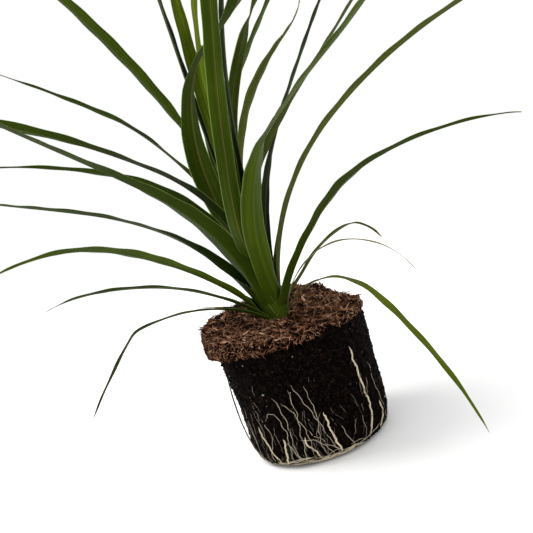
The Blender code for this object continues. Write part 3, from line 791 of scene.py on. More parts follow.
@dataclass
class RootBall:
    """The block of soil, its crumbs and its grit."""

    shape: BallShape
    sides: int = 260
    side_rows: int = 120
    lump: float = 0.0012
    crumb_seed: int = 21

    def side_rings(self) -> list[list[Vector]]:
        """Rings of the rough side, bottom to top."""
        rings = []
        for row in range(self.side_rows + 1):
            ring = []
            for side in range(self.sides):
                angle = math.tau * side / self.sides
                rim = self.shape.side(angle, self.shape.soil_top)
                high = self.shape.seam(rim * math.cos(angle), rim * math.sin(angle)) - 0.0006
                height = high * row / self.side_rows
                radius = self.shape.side(angle, height)
                spot = polar(radius, angle, height)
                rough = 0.6 * grain(spot, 190.0) + 0.5 * grain(spot + Vector((3, 1, 2)), 620.0, 2)
                radius += self.lump * (rough - 0.25) * min(1.0, 0.15 + height / 0.004)
                ring.append(polar(radius, angle, height))
            rings.append(ring)
        return rings

    def rings(self) -> list[list[Vector]]:
        """Every ring of the soil: underside, side and hidden top."""
        side = self.side_rings()
        under = []
        for share in (0.05, 0.25, 0.45, 0.62, 0.76, 0.88, 0.96):
            ring = []
            for point in side[0]:
                spot = Vector((point.x * share, point.y * share, 0.0))
                lift = max(0.0, grain(spot, 260.0)) * 0.0010 * (1.0 - share ** 6)
                ring.append(Vector((spot.x, spot.y, lift)))
            under.append(ring)
        top = []
        for share in (0.97, 0.8, 0.5, 0.2):
            top.append([Vector((p.x * share, p.y * share,
                                self.shape.seam(p.x * share, p.y * share) - 0.0006)) for p in side[-1]])
        return under + side + top

    def build(self) -> None:
        """Make the soil and what is strewn over it."""
        soil = SoilFinish().build()
        mesh = shell_mesh("soil", self.rings())
        dress(mesh, soil, 0.0)
        add_piece("soil", mesh, ("root_ball",))
        skin = shell_mesh("soil_skin", self.side_rings()[2:], capped=False)
        crumbs = Strewing(ScatterKind.CRUMB, 95000.0, 0.0007, 0.0026, self.crumb_seed, 3.1, 0.0002)
        add_piece("soil_crumbs", crumbs.build(skin, soil))
        grit = Strewing(ScatterKind.CRUMB, 900.0, 0.0008, 0.0022, self.crumb_seed + 9, 3.1, 0.0)
        add_piece("grit", grit.build(skin, MineralFinish().build()))


@dataclass
class CoirMulch:
    """The mat of coir on top of the soil, with its loose fibres and chips."""

    shape: BallShape
    sides: int = 260
    rough: float = 0.0012
    seed: int = 51

    def point(self, angle: float, share: float, part: float) -> Vector:
        """A point of the mat's skin.

        Args:
            angle: Azimuth in radians.
            share: Share of the edge's radius, 1 at the side.
            part: 0 at the seam and 1 at the top.

        Returns:
            The point before it is roughened.
        """
        scale = self.shape.mulch_edge(angle) * share
        x = scale * math.cos(angle) + self.shape.mulch_x
        y = scale * math.sin(angle)
        bottom = self.shape.seam(x, y)
        return Vector((x, y, bottom + part * (self.shape.top(x, y) - bottom)))

    def rings(self, route: Sequence[tuple[float, float]], rough: float) -> list[list[Vector]]:
        """Rings of the skin along a route of (share, part) stops."""
        rings = []
        for share, part in route:
            ring = []
            for side in range(self.sides):
                spot = self.point(math.tau * side / self.sides, share, part)
                lump = grain(spot, 150.0) + 0.7 * grain(spot + Vector((5, 2, 8)), 480.0, 2)
                out = Vector((spot.x - self.shape.mulch_x, spot.y, 0.0)).normalized()
                facing = out if 0.0 < part < 1.0 else out * 0.4 + Vector((0, 0, 1 if part else 0))
                ring.append(spot + facing * (lump * rough))
            rings.append(ring)
        return rings

    def side_route(self) -> list[tuple[float, float]]:
        """Stops up the outer side, from the seam to just under the top."""
        return [(0.955 + 0.045 * math.sin(math.pi * min(1.0, 0.25 + part * 0.8)), part)
                for part in np.linspace(0.0, 0.97, 26)]

    def build(self) -> None:
        """Make the mat, its fibres and its chips."""
        coir = CoirFinish().build()
        under = [(share, 0.0) for share in (0.05, 0.3, 0.6, 0.8, 0.9)]
        inward = [(share, 1.0) for share in np.linspace(0.95, 0.06, 44)]
        mesh = shell_mesh("coir_mat", self.rings(under + self.side_route() + inward, self.rough))
        # The mat takes tone 0, mostly the near-black end of the ramp: painted shade where it shows between
        # the strands.
        dress(mesh, coir, 0.0)
        add_piece("coir_mat", mesh, ("coir_mulch",))
        side = shell_mesh("coir_side", self.rings(self.side_route(), self.rough), capped=False)
        level = [(share, 1.0) for share in np.linspace(0.98, 0.16, 40)]
        top = shell_mesh("coir_top", self.rings(level, self.rough), capped=False)
        flat = (0.8, 0.6, 0.30), (1.0, 1.5, 0.60)
        flake = (0.8, 0.7, 0.12), (1.0, 1.2, 0.22)
        # name, carrier, kind, density, shortest, longest, tilt, sink, slimmest and stoutest build
        strewn = (
            ("coir_top_fibres", top, ScatterKind.FIBRE, 110000.0, 0.005, 0.014, 0.35, 0.0, ()),
            ("coir_side_fibres", side, ScatterKind.FIBRE, 160000.0, 0.003, 0.009, 0.35, 0.0001, ()),
            ("coir_top_splinters", top, ScatterKind.SPLINTER, 150000.0, 0.005, 0.014, 0.45, 0.0, flat),
            ("coir_side_splinters", side, ScatterKind.SPLINTER, 330000.0, 0.0025, 0.0065, 0.40, 0.0, flat),
            ("coir_chips", top, ScatterKind.CHIP, 4500.0, 0.006, 0.010, 0.20, -0.0012, flake),
        )
        for index, (name, carrier, kind, density, *lengths, tilt, sink, build) in enumerate(strewn):
            layer = Strewing(kind, density, *lengths, self.seed + index, tilt, sink, *build)
            add_piece(name, layer.build(carrier, coir))


class Strand(NamedTuple):
    """A root on the soil's side."""

    radius: float
    tone: float
    stops: tuple[tuple[float, float], ...]


@dataclass
class SurfaceRoots:
    """The pale roots that show on the side of the ball and round its foot."""

    shape: BallShape
    seed: int = 5
    stride: float = 2.2
    mm_per_degree: float = 1.13
    hair_count: int = 120
    hair_stride: float = 5.0
    hair_radii: tuple[float, ...] = (0.09, 0.12, 0.16, 0.21)
    foot_count: int = 44
    foot_turn: float = 4.5
    foot_radii: tuple[float, ...] = (0.16, 0.22, 0.30, 0.42, 0.55)
    peeled_radius: float = 0.62
    spacing: float = 0.0012
    strands: tuple[Strand, ...] = (
        Strand(0.83, 1.0, ((310, 88), (310, 75), (311, 62), (312, 49), (313, 41), (315, 33), (312, 18),
                           (306, 6))),
        Strand(0.72, 1.0, ((328, 28), (330, 20), (327, 12), (322, 6))),
        Strand(0.86, 1.0, ((275, 46), (275, 38), (276, 29), (277, 21), (279, 9), (280, 5))),
        Strand(0.79, 1.0, ((238, 30), (238, 22), (235, 10), (234, 5))),
        Strand(0.79, 1.0, ((256, 29), (256, 20), (261, 14), (263, 5))),
        Strand(0.72, 0.9, ((218, 42), (220, 33), (222, 25), (226, 12), (228, 5))),
        Strand(0.30, 0.5, ((258, 77), (262, 64), (266, 51), (269, 41), (272, 26), (276, 12), (278, 5))),
        Strand(0.33, 0.5, ((255, 73), (255, 61), (256, 50), (254, 38), (253, 27), (253, 19), (250, 5))),
        Strand(0.30, 0.5, ((267, 73), (268, 63), (269, 55), (270, 47), (268, 34), (266, 22), (268, 6))),
        Strand(0.30, 0.5, ((242, 69), (245, 57), (246, 48), (246, 36), (245, 24), (246, 5))),
        Strand(0.30, 0.5, ((246, 63), (251, 58), (254, 51), (257, 41), (259, 30), (258, 5))),
        Strand(0.30, 0.5, ((229, 48), (233, 55), (239, 54), (241, 47), (243, 37), (241, 20), (240, 5))),
        Strand(0.30, 0.5, ((259, 35), (263, 28), (268, 23), (270, 15), (273, 6))),
        Strand(0.30, 0.5, ((251, 27), (261, 25), (268, 18), (274, 14), (283, 5))),
        Strand(0.30, 0.5, ((285, 29), (286, 21), (288, 15), (292, 5))),
        Strand(0.30, 0.4, ((225, 49), (228, 40), (229, 30), (223, 18), (220, 6))),
        Strand(0.30, 0.5, ((240, 26), (243, 20), (247, 10), (254, 5))),
        Strand(0.30, 0.4, ((325, 66), (328, 58), (326, 50), (330, 34), (334, 18), (338, 6))),
        Strand(0.26, 0.4, ((206, 58), (205, 47), (208, 30), (206, 14), (208, 6))),
    )

    def curve(self, stops: Sequence[tuple[float, float]], radius: float, lift: float,
              rng: random.Random) -> list[Vector]:
        """Points of a root that hugs the soil.

        Args:
            stops: Azimuth in degrees and height in millimetres.
            radius: The root's radius in millimetres.
            lift: How far its middle stands off the soil's mean side, in radii.
            rng: Source of the small wobble.

        Returns:
            The points, about two millimetres apart.
        """
        line = []
        for (a0, h0), (a1, h1) in zip(stops[:-1], stops[1:]):
            pieces = max(1, round(math.hypot((a1 - a0) * self.mm_per_degree, h1 - h0) / self.stride))
            line += [(a0 + (a1 - a0) * i / pieces, h0 + (h1 - h0) * i / pieces) for i in range(pieces)]
        line.append(stops[-1])
        points = []
        phase = rng.uniform(0.0, 9.0)
        for index, (azimuth, height) in enumerate(line):
            azimuth += 0.5 * math.sin(index * 0.9 + phase) + rng.uniform(-0.45, 0.45)
            angle = math.radians(azimuth)
            height = max(height, 1.2) * MM
            reach = self.shape.side(angle, height) + radius * lift * MM
            points.append(polar(reach, angle, height))
        return points

    def hairs(self, rng: random.Random) -> list[Strand]:
        """Fine roots drawn at random, thickest at the lower front."""
        drawn = []
        for index in range(self.hair_count):
            front = index % 3 != 2
            azimuth = rng.gauss(258.0, 32.0) if front else rng.uniform(0.0, 360.0)
            height = rng.uniform(6.0, 58.0) if front else rng.uniform(6.0, 88.0)
            length = rng.uniform(3.0, 14.0) if index % 4 else rng.uniform(14.0, 36.0)
            slope = rng.gauss(0.0, 0.28)
            stops = [(azimuth, height)]
            while length > 0.0 and stops[-1][1] > 4.0:
                slope = 0.75 * slope + rng.gauss(0.0, 0.16)
                azimuth += self.hair_stride * slope
                height -= self.hair_stride
                length -= self.hair_stride
                stops.append((azimuth, max(height, 3.0)))
            radius = rng.choice(self.hair_radii)
            drawn.append(Strand(radius, rng.uniform(0.0, 0.45), tuple(stops)))
        return drawn

    def foot(self, rng: random.Random) -> list[Strand]:
        """Roots that circle the foot of the ball."""
        drawn = []
        for index in range(self.foot_count):
            azimuth = rng.uniform(0.0, 360.0) if index % 2 else rng.gauss(265.0, 30.0)
            height = rng.uniform(1.8, 7.5)
            turn = rng.choice((-1.0, 1.0))
            stops = [(azimuth, height)]
            for _ in range(rng.randint(3, 9)):
                azimuth += turn * self.foot_turn
                height = min(9.5, max(1.6, height + rng.gauss(0.0, 1.3)))
                stops.append((azimuth, height))
            radius = rng.choice(self.foot_radii)
            drawn.append(Strand(radius, rng.uniform(0.4, 1.0), tuple(stops)))
        return drawn

    def peeled(self) -> list[Vector]:
        """The strand that stands off the left side."""
        stops = ((176, 80, 0.0), (182, 72, 0.6), (185, 62, 2.2), (186, 50, 3.0), (187, 38, 2.6),
                 (190, 27, 1.4), (196, 16, 0.4), (200, 6, 0.0))
        points = []
        for azimuth, height, lift in stops:
            angle = math.radians(azimuth)
            reach = self.shape.side(angle, height * MM) + (0.6 + lift) * MM
            points.append(polar(reach, angle, height * MM))
        return points

    def tree(self, material: bpy.types.Material) -> ShapeTree:
        """The tree that turns polylines with a thickness into tapering round roots."""
        tree = ShapeTree("grow_roots", {"Spacing": ("NodeSocketFloat", self.spacing)})
        line = tree.node("GeometryNodeMeshToCurve", values={0: tree.given("Geometry")})
        line = tree.node("GeometryNodeResampleCurve", {"mode": "LENGTH"},
                         {"Curve": line, "Length": tree.given("Spacing")})
        thick = tree.node("GeometryNodeInputNamedAttribute", {"data_type": "FLOAT"}, {"Name": "thickness"})
        ring = tree.node("GeometryNodeCurvePrimitiveCircle", values={"Resolution": 6, "Radius": 1.0})
        tube = tree.node("GeometryNodeCurveToMesh",
                         values={"Curve": line, "Profile Curve": ring, "Scale": thick, "Fill Caps": True})
        tree.close(tube, material, smooth=True)
        return tree

    def build(self) -> None:
        """Make every root as one piece."""
        rng = random.Random(self.seed)
        lines = [(self.curve(s.stops, s.radius, 0.55, rng), s.radius, s.tone) for s in self.strands]
        lines += [(self.curve(s.stops, s.radius, 0.2, rng), s.radius, s.tone) for s in self.hairs(rng)]
        lines += [(self.curve(s.stops, s.radius, 0.5, rng), s.radius, s.tone) for s in self.foot(rng)]
        lines.append((self.peeled(), self.peeled_radius, 0.0))
        points = []
        edges = []
        thickness = []
        tones = []
        for line, radius, tone in lines:
            start = len(points)
            for index, point in enumerate(line):
                part = index / (len(line) - 1)
                taper = smooth_step(min(part, 1.0 - part) * 7.0 + 0.25)
                points.append(tuple(point))
                thickness.append(radius * MM * taper * rng.uniform(0.8, 1.15))
                tones.append(tone)
            edges += [(start + i, start + i + 1) for i in range(len(line) - 1)]
        carrier = bpy.data.meshes.new("root_lines")
        carrier.from_pydata(points, edges, [])
        set_tone(carrier, "thickness", thickness)
        set_tone(carrier, "tone", tones)
        mesh = self.tree(RootFinish().build()).grow(carrier, {"Spacing": self.spacing})
        add_piece("fine_roots", mesh, ("surface_roots",))


class Leaf(NamedTuple):
    """One strap leaf, from its seat on the crown to its tip; lengths in millimetres."""

    seat: float           # azimuth of its place on the crown
    bearing: tuple        # azimuth that it heads for at the seat, half way and at the tip
    lean: tuple           # angle from upright at the seat, 1/3, 2/3 and the tip
    length: float
    width: tuple          # at the seat, 1/4, 1/2 and 3/4 of the length
    height: float         # of the seat above the underside of the ball
    twist: tuple = (0, 0, 0, 0)
    crease: tuple = (0.5, 0.1, 0, 0)   # place, span, extra lean, extra twist beyond it
    clasp: float = 12     # width of the base where it wraps the crown
    tone: Tone = Tone.MID


LEAVES = (
    # low and wide spread, left
    Leaf(219, (188, 202, 192), (50, 77, 102, 110), 200, (5, 8, 9, 6), 121,
         (6, 10, -3, -35), (0.60, 0.06, 29, 0), 8, Tone.PAINTED_SHADE_GREEN),
    Leaf(208, (176, 189, 147), (44, 60, 80, 106), 205, (6, 11, 13, 9), 122.5,
         (11, 5, -2, -7), clasp=9, tone=Tone.MID),
    Leaf(164, (206, 235, 219), (35, 53, 68, 96), 280, (7, 16, 17, 13), 123.5,
         (-5, 2, 9, 32), clasp=16, tone=Tone.MID),
    Leaf(200, (126, 164, 112), (35, 60, 74, 85), 400, (7, 15, 19, 12), 127,
         (-5, 22, 26, 14), clasp=24, tone=Tone.PAINTED_SHADE_GREEN),
    Leaf(210, (258, 203, 209), (25, 48, 47, 50), 480, (10, 23, 20, 15), 130.5,
         (5, 0, -14, -8), clasp=22, tone=Tone.MID),
    Leaf(242, (241, 208, 185), (16, 34, 61, 74), 273, (6, 12, 14, 10), 141,
         (2, 18, 18, 29), clasp=11, tone=Tone.PAINTED_SHADE_GREEN),
    # upper left
    Leaf(247, (239, 198, 167), (6, 50, 61, 73), 440, (7, 17, 15, 9), 146.5,
         (-4, -12, 19, 8), (0.47, 0.20, 0, 19), 14, Tone.MID),
    Leaf(155, (157, 155, 181), (3, 29, 51, 53), 302, (6, 12, 13, 8), 159,
         (6, 41, -13, -21), clasp=10, tone=Tone.PAINTED_SHADE_GREEN),
    Leaf(75, (134, 154, 141), (7, 25, 35, 46), 500, (7, 18, 20, 14), 156.5,
         (0, 61, 54, 31), clasp=14, tone=Tone.MID),
    # upright heart
    Leaf(150, (150, 150, 150), (4, 0, 1, 4), 500, (6, 14, 16, 11), 168.5,
         (2, 18, 35, 20), clasp=12, tone=Tone.MID),
    Leaf(105, (111, 125, 110), (7, -7, -2, 5), 520, (6, 15, 16, 11), 184,
         (2, 14, 55, 31), clasp=11, tone=Tone.PAINTED_LIGHT_GREEN),
    Leaf(292, (50, 1, 60), (-3, 7, 33, 51), 500, (6, 13, 14, 10), 167,
         (-4, -31, -20, -11), clasp=11, tone=Tone.PAINTED_LIGHT_GREEN),
    Leaf(357, (50, 30, 50), (-1, 13, 29, 43), 480, (6, 13, 15, 10), 147,
         (-3, -27, 4, 2), clasp=11, tone=Tone.PAINTED_SHADE_GREEN),
    # broad leaves toward the front
    Leaf(329, (252, 311, 306), (70, 26, 17, 20), 520, (9, 14, 14, 11), 168,
         (-2, -12, -12, -5), clasp=20, tone=Tone.BROAD),
    Leaf(179, (203, 342, 5), (5, 28, 36, 33), 480, (8, 22, 20, 16), 147.5,
         (20, 20, 4, 2), (0.43, 0.16, 28, 0), 18, Tone.BROAD),
    Leaf(305, (263, 297, 317), (41, 51, 55, 34), 487, (9, 20, 15, 14), 135.5,
         (-9, 10, 20, 10), (0.42, 0.16, 12, 16), 20, Tone.MID),
    # right and back
    Leaf(33, (109, -13, 21), (43, 50, 49, 51), 500, (7, 12, 16, 10), 144,
         (-34, 10, 5, 3), clasp=11, tone=Tone.OLIVE),
    Leaf(67, (83, 43, 38), (41, 49, 48, 55), 460, (6, 15, 14, 10), 130,
         (14, -31, -17, -10), clasp=11, tone=Tone.PAINTED_SHADE_GREEN),
    Leaf(77, (86, 48, 81), (5, 43, 72, 74), 419, (6, 10, 15, 8), 142.5,
         (-4, -91, -50, -39), clasp=10, tone=Tone.OLIVE),
    Leaf(19, (99, 15, 55), (21, 35, 42, 50), 460, (6, 12, 10, 10), 180.5,
         (4, 58, -2, -1), (0.49, 0.16, 0, -104), 10, Tone.OLIVE),
    Leaf(146, (99, 42, 57), (10, 39, 54, 53), 400, (6, 12, 13, 8), 151,
         (0, -3, -7, 1), clasp=10, tone=Tone.PAINTED_SHADE_GREEN),
    Leaf(21, (4, -7, 40), (10, 56, 80, 99), 500, (7, 16, 18, 12), 131,
         (-2, -21, -16, -9), clasp=18, tone=Tone.OLIVE),
    Leaf(333, (321, 303, 378), (34, 53, 77, 106), 300, (7, 14, 16, 11), 127,
         (-6, 0, -17, -25), clasp=16, tone=Tone.MID),
    Leaf(73, (12, 16, 50), (57, 50, 86, 119), 148, (5, 10, 11, 8), 121,
         (1, -9, -1, -9), (0.72, 0.12, 25, 0), 8, Tone.OLIVE),
    Leaf(25, (352, 338, 350), (24, 59, 113, 160), 156, (2, 3, 3, 2), 121,
         (2, 14, 12, 6), clasp=3, tone=Tone.DRY),
    Leaf(341, (323, 289, 309), (45, 100, 132, 164), 263, (4, 6, 8, 6), 121,
         (-6, -10, -17, 23), clasp=5, tone=Tone.LIME),
    # arching over at the back
    Leaf(140, (92, 80, 94), (30, 33, 89, 112), 380, (7, 15, 17, 11), 139, clasp=13),
    Leaf(108, (95, 97, 99), (50, 74, 88, 122), 300, (6, 13, 14, 9), 121, clasp=12),
    Leaf(117, (89, 93, 98), (27, 62, 100, 97), 310, (6, 14, 15, 10), 126, clasp=12),
    Leaf(146, (96, 80, 89), (20, 36, 57, 95), 360, (6, 14, 15, 10), 147, clasp=12),
    # withered stub low on the left
    Leaf(185, (150, 176, 178), (56, 62, 70, 78), 62, (5, 6, 5, 3), 121, clasp=6, tone=Tone.STUB),
)


@dataclass
class CrownShape:
    """The heart that the leaves sit on."""

    profile: tuple[tuple[float, float], ...] = (
        (0.0890, 0.0070), (0.0960, 0.0100), (0.1190, 0.0098), (0.1300, 0.0086), (0.1450, 0.0072),
        (0.1600, 0.0057), (0.1750, 0.0038), (0.1880, 0.0018), (0.1920, 0.0010))
    stem_x: float = -0.006
    seat_gap: float = 0.00078

    def radius(self, height: float) -> float:
        """Radius at a height in metres."""
        return read_off(self.profile, height)


@dataclass
class StrapLeaf:
    """Builds one leaf: a clasping sheath on the crown, then the blade."""

    leaf: Leaf
    crown: CrownShape
    number: int
    rows: int = 76
    columns: int = 12
    sheath_rows: int = 9
    thickness: float = 0.00060
    most_outset: float = 0.0016
    outset_below: float = 0.130
    outset_span: float = 0.010
    sheath_depth: float = 0.020
    sheath_foot: float = 0.113
    settle: float = 0.15
    line_steps: int = 120
    unrolled_from: float = 0.12
    crowding: float = 1.10
    valley: float = 0.0003
    ripple: float = 0.00035
    ripples: float = 170.0
    keel_depth: float = 0.00035
    keel_reach: float = 0.0011
    least_curl: float = 0.004
    golden: float = 0.618

    @property
    def outward(self) -> Vector:
        """Level direction from the crown's axis to the seat."""
        return polar(1.0, math.radians(self.leaf.seat), 0.0)

    @property
    def outset(self) -> float:
        """How far the base stands outside the bases above it: the lowest wrap the others."""
        below = (self.outset_below - self.leaf.height * MM) / self.outset_span
        return self.most_outset * min(1.0, max(0.0, below))

    @property
    def curl(self) -> float:
        """Radius that the base is rolled to."""
        return self.crown.radius(self.leaf.height * MM) + self.crown.seat_gap + self.outset

    def angles(self, along: float) -> tuple[float, float, float]:
        """Lean, azimuth and twist in radians at a place from 0 (seat) to 1 (tip)."""
        where, span, extra_lean, extra_twist = self.leaf.crease
        beyond = smooth_step((along - where) / span + 0.5)
        thirds = (0.0, 1 / 3, 2 / 3, 1.0)
        lean = float(np.interp(along, thirds, self.leaf.lean)) + extra_lean * beyond
        twist = float(np.interp(along, thirds, self.leaf.twist)) + extra_twist * beyond
        azimuth = float(np.interp(along, (0.0, 0.5, 1.0), self.leaf.bearing))
        return math.radians(lean), math.radians(azimuth), math.radians(twist)

    def heading(self, along: float) -> Vector:
        """Direction that the leaf runs in at a place along it."""
        lean, azimuth, _ = self.angles(along)
        return polar(math.sin(lean), azimuth, math.cos(lean))

    def frames(self, stations: Sequence[float]) -> list[tuple[Vector, Vector, Vector]]:
        """Middle line, sideways and upward directions of the blade at its stations."""
        steps = self.line_steps
        height = self.leaf.height * MM
        reach = self.crown.radius(height) + self.crown.seat_gap
        point = self.outward * reach + Vector((self.crown.stem_x, 0.0, height))
        line = [point.copy()]
        for step in range(steps):
            point = point + self.heading((step + 0.5) / steps) * (self.leaf.length * MM / steps)
            line.append(point.copy())
        swing = math.radians((self.leaf.seat - self.leaf.bearing[0] + 180.0) % 360.0 - 180.0)
        frames = []
        for station in stations:
            _, azimuth, twist = self.angles(station)
            near = 1.0 - smooth_step(station / self.settle)
            facing = azimuth + swing * near
            heading = self.heading(station)
            up = heading.cross(Vector((-math.sin(facing), math.cos(facing), 0.0))).normalized()
            side = up.cross(heading)
            spun = side * math.cos(twist) + up * math.sin(twist)
            raised = up * math.cos(twist) - side * math.sin(twist)
            spot = station * steps
            low = min(int(spot), steps - 1)
            middle = line[low].lerp(line[low + 1], spot - low) + self.outward * (self.outset * near)
            frames.append((middle, spun, raised))
        return frames

    def half_width(self, along: float) -> float:
        """Half the blade's width in metres, rounded between the stations of the table."""
        seat, quarter, half, late = self.leaf.width
        places = (0.0, 0.10, 0.25, 0.5, 0.75, 0.93, 1.0)
        clasp = 0.5 * (self.leaf.clasp + quarter)
        widths = (self.leaf.clasp, clasp, quarter, half, late, 0.36 * late + 0.2, 0.35)
        window = 0.07 * min(1.0, (1.0 - along) * 9.0 + 0.05)
        spots = np.clip(along + window * np.linspace(-1.0, 1.0, 7), 0.0, 1.0)
        return 0.5 * MM * float(np.mean(np.interp(spots, places, widths)))

    def fold(self, along: float) -> float:
        """How far each half of the blade is raised, in radians."""
        return math.radians(float(np.interp(along, (0.0, 0.10, 0.3, 0.7, 1.0), (40, 30, 18, 13, 22))))

    def section(self, middle: Vector, side: Vector, up: Vector, along: float, half: float,
                curl: float) -> list[Vector]:
        """The closed outline of the blade at one station, upper face then lower face.

        Args:
            middle: Point on the middle line.
            side: Direction toward one edge.
            up: Direction that the upper face looks in.
            along: Place from 0 at the seat to 1 at the tip.
            half: Half the width.
            curl: Radius that the base is rolled to.

        Returns:
            The points of the ring.
        """
        fold = self.fold(along)
        rolled = 1.0 - smooth_step(along / self.unrolled_from)
        length = self.leaf.length * MM
        upper = []
        lower = []
        for column in range(self.columns + 1):
            across = 2.0 * column / self.columns - 1.0
            flat = across * half * math.cos(fold)
            rise = math.sqrt((across * half * math.sin(fold)) ** 2 + self.valley ** 2) - self.valley
            turn = max(-2.0, min(2.0, across * half / curl))
            flat = flat + rolled * (curl * math.sin(turn) - flat)
            rise = rise + rolled * (curl * (1.0 - math.cos(turn)) - rise)
            wave = math.sin(along * length * self.ripples + self.number * 1.7 + (2.1 if across > 0 else 0.0))
            rise += self.ripple * wave * across * across * smooth_step((along - 0.1) * 8.0)
            skin = middle + side * flat + up * rise
            thick = 0.5 * self.thickness * (1.0 - 0.62 * abs(across) ** 2.0)
            thick *= 1.0 - 0.6 * smooth_step((along - 0.8) * 5.0)
            keel = self.keel_depth * math.exp(-(across * half / self.keel_reach) ** 2)
            keel *= smooth_step(half / 0.005)
            upper.append(skin + up * thick)
            lower.append(skin - up * (thick + keel))
        lower[0] = upper[0].lerp(lower[0], 0.5)
        lower[-1] = upper[-1].lerp(lower[-1], 0.5)
        upper[0] = lower[0]
        upper[-1] = lower[-1]
        return upper + lower[-2:0:-1]

    def sheath(self) -> tuple[list[list[Vector]], list[float]]:
        """Rings of the base that wraps the crown, bottom to top, with their places."""
        outward = self.outward
        side = Vector((-outward.y, outward.x, 0.0))
        high = self.leaf.height * MM
        depth = min(self.sheath_depth, high - self.sheath_foot)
        half_seat = self.half_width(0.0)
        broad = smooth_step((self.leaf.clasp - 6.0) / 4.0)
        rings = []
        places = []
        for row in range(self.sheath_rows):
            part = 1.0 - row / self.sheath_rows
            height = high - depth * part
            tuck = self.crown.seat_gap * (1.0 - 0.85 * smooth_step(part))
            reach = self.crown.radius(height) + tuck + self.outset
            widen = half_seat + (1.75 * reach - half_seat) * smooth_step(part * 1.1) * 0.9 * broad
            middle = outward * reach + Vector((self.crown.stem_x, 0.0, height))
            rings.append(self.section(middle, side, -outward, 0.0, max(half_seat, widen), reach))
            places.append(-0.04 * part)
        return rings, places

    def build(self) -> bpy.types.Mesh:
        """Make the leaf's closed mesh with its UV map and its numbers."""
        stations = [(row / self.rows) ** self.crowding for row in range(self.rows + 1)]
        rings, places = self.sheath()
        curl = max(self.curl, self.least_curl)
        for station, (middle, side, up) in zip(stations, self.frames(stations)):
            rings.append(self.section(middle, side, up, station, self.half_width(station), curl))
            places.append(station)
        mesh = shell_mesh(f"leaf_{self.number:02d}", rings)
        sides = len(rings[0])
        shares = [c / self.columns for c in range(self.columns + 1)]
        shares += shares[-2:0:-1]
        unders = [0.0] * (self.columns + 1) + [1.0] * (self.columns - 1)
        across = [*shares * len(rings), 0.5, 0.5]
        along = [place for place in places for _ in range(sides)] + [places[0], places[-1]]
        set_blade_map(mesh, across, along)
        set_tone(mesh, "under", [*unders * len(rings), 0.5, 0.5])
        set_tone(mesh, "tone", [(self.number * self.golden) % 1.0] * len(across))
        shade_smooth(mesh)
        return mesh


@dataclass
class Foliage:
    """Every leaf, and the heart that they wrap."""

    crown: CrownShape
    heart_sides: int = 40
    heart_rows: int = 40
    heart_inset: float = 0.0002
    heart_along: float = 0.08
    heart_tone: float = 0.6

    def build(self) -> None:
        """Make the leaves and the heart."""
        finishes = {tone: tone.value.build() for tone in Tone}
        for number, leaf in enumerate(LEAVES, start=1):
            mesh = StrapLeaf(leaf, self.crown, number).build()
            mesh.materials.append(finishes[leaf.tone])
            slot = "leaf_dry" if leaf.tone in (Tone.DRY, Tone.STUB) else "leaf"
            add_piece(f"strap_leaf_{number:02d}", mesh, (f"leaf_{number:02d}",))
        self.build_heart(finishes[Tone.MID])

    def build_heart(self, material: bpy.types.Material) -> None:
        """Make the smooth heart inside the clasping bases."""
        rings = []
        low = self.crown.profile[0][0]
        high = self.crown.profile[-1][0]
        middle = Vector((self.crown.stem_x, 0.0, 0.0))
        for row in range(self.heart_rows + 1):
            height = low + (high - low) * row / self.heart_rows
            radius = self.crown.radius(height) - self.heart_inset
            rings.append([middle + polar(radius, math.tau * side / self.heart_sides, height)
                          for side in range(self.heart_sides)])
        mesh = shell_mesh("heart", rings)
        turns = np.array([i / self.heart_sides for i in range(self.heart_sides)] * len(rings) + [0.5, 0.5])
        set_blade_map(mesh, 0.3 + 0.4 * np.abs(turns - 0.5), np.full(len(turns), self.heart_along))
        set_tone(mesh, "under", [0.0] * len(mesh.vertices))
        dress(mesh, material, self.heart_tone)
        add_piece("heart", mesh, ("crown",))


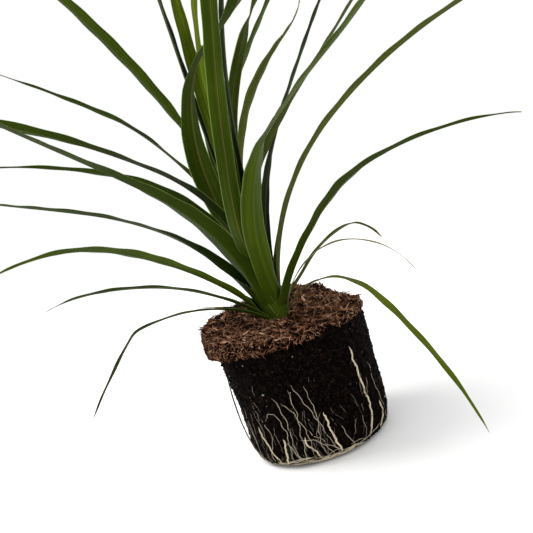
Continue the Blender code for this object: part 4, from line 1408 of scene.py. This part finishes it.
@dataclass
class Studio:
    """Floor, backdrop, lights and the camera at the photograph's angle."""

    distance: float = 0.80
    pitch: float = 12.0
    roll: float = 18.5
    target: tuple[float, float, float] = (-0.001, 0.0, 0.163)
    focal_pixels: float = 928.0
    image_pixels: float = 533.0
    sensor: float = 36.0
    floor_reach: float = 1.6
    floor_sides: int = 96
    backdrop: float = 1.0

    def build_floor(self) -> None:
        """Make the round pale floor."""
        sides = range(self.floor_sides)
        ring = [tuple(polar(self.floor_reach, math.tau * i / self.floor_sides, 0.0)) for i in sides]
        mesh = bpy.data.meshes.new("floor")
        mesh.from_pydata(ring, [], [tuple(sides)])
        mesh.materials.append(FloorFinish().build())
        link("floor", mesh)

    def build_backdrop(self) -> None:
        """Make the even pale surroundings."""
        world = bpy.data.worlds.new("studio")
        world.use_nodes = True
        shade = world.node_tree.nodes["Background"]
        shade.inputs["Color"].default_value = (1.0, 1.0, 1.0, 1.0)
        shade.inputs["Strength"].default_value = self.backdrop
        bpy.context.scene.world = world

    def add_light(self, name: str, place: RGB, size: float, power: float, tint: RGB) -> None:
        """Add one soft lamp that looks at the plant."""
        lamp = bpy.data.lights.new(name, "AREA")
        lamp.shape = "DISK"
        lamp.size = size
        lamp.energy = power
        lamp.color = tint
        holder = link(name, lamp)
        holder.location = place
        look = Vector((0.0, 0.0, 0.2)) - Vector(place)
        holder.rotation_euler = look.to_track_quat("-Z", "Y").to_euler()

    def build_camera(self) -> None:
        """Place the camera, rolled as the photograph was."""
        pitch = math.radians(self.pitch)
        roll = math.radians(self.roll)
        forward = Vector((0.0, math.cos(pitch), -math.sin(pitch)))
        right = Vector((1.0, 0.0, 0.0))
        up = Vector((0.0, math.sin(pitch), math.cos(pitch)))
        across = right * math.cos(roll) - up * math.sin(roll)
        above = right * math.sin(roll) + up * math.cos(roll)
        lens = bpy.data.cameras.new("camera")
        lens.sensor_width = self.sensor
        lens.lens = self.focal_pixels / self.image_pixels * self.sensor
        lens.clip_start = 0.02
        holder = link("camera", lens)
        turn = Matrix((across, above, -forward)).transposed().to_4x4()
        holder.matrix_world = Matrix.Translation(Vector(self.target) - forward * self.distance) @ turn
        bpy.context.scene.camera = holder

    def build(self) -> None:
        """Make the studio."""
        self.build_floor()
        self.build_backdrop()
        self.add_light("key", (-0.9, 0.35, 1.5), 0.9, 26.0, (1.0, 0.99, 0.97))
        self.add_light("fill", (0.9, -1.2, 0.9), 1.2, 6.0, (0.97, 0.98, 1.0))
        self.build_camera()
        bpy.context.scene.view_settings.view_transform = "Standard"


def main() -> None:
    """Build the plant and its studio in order."""
    logging.basicConfig(level=logging.INFO, format="%(name)s: %(message)s")
    ball = BallShape()
    Studio().build()
    RootBall(ball).build()
    CoirMulch(ball).build()
    SurfaceRoots(ball).build()
    Foliage(CrownShape()).build()


if __name__ == "__main__":
    main()
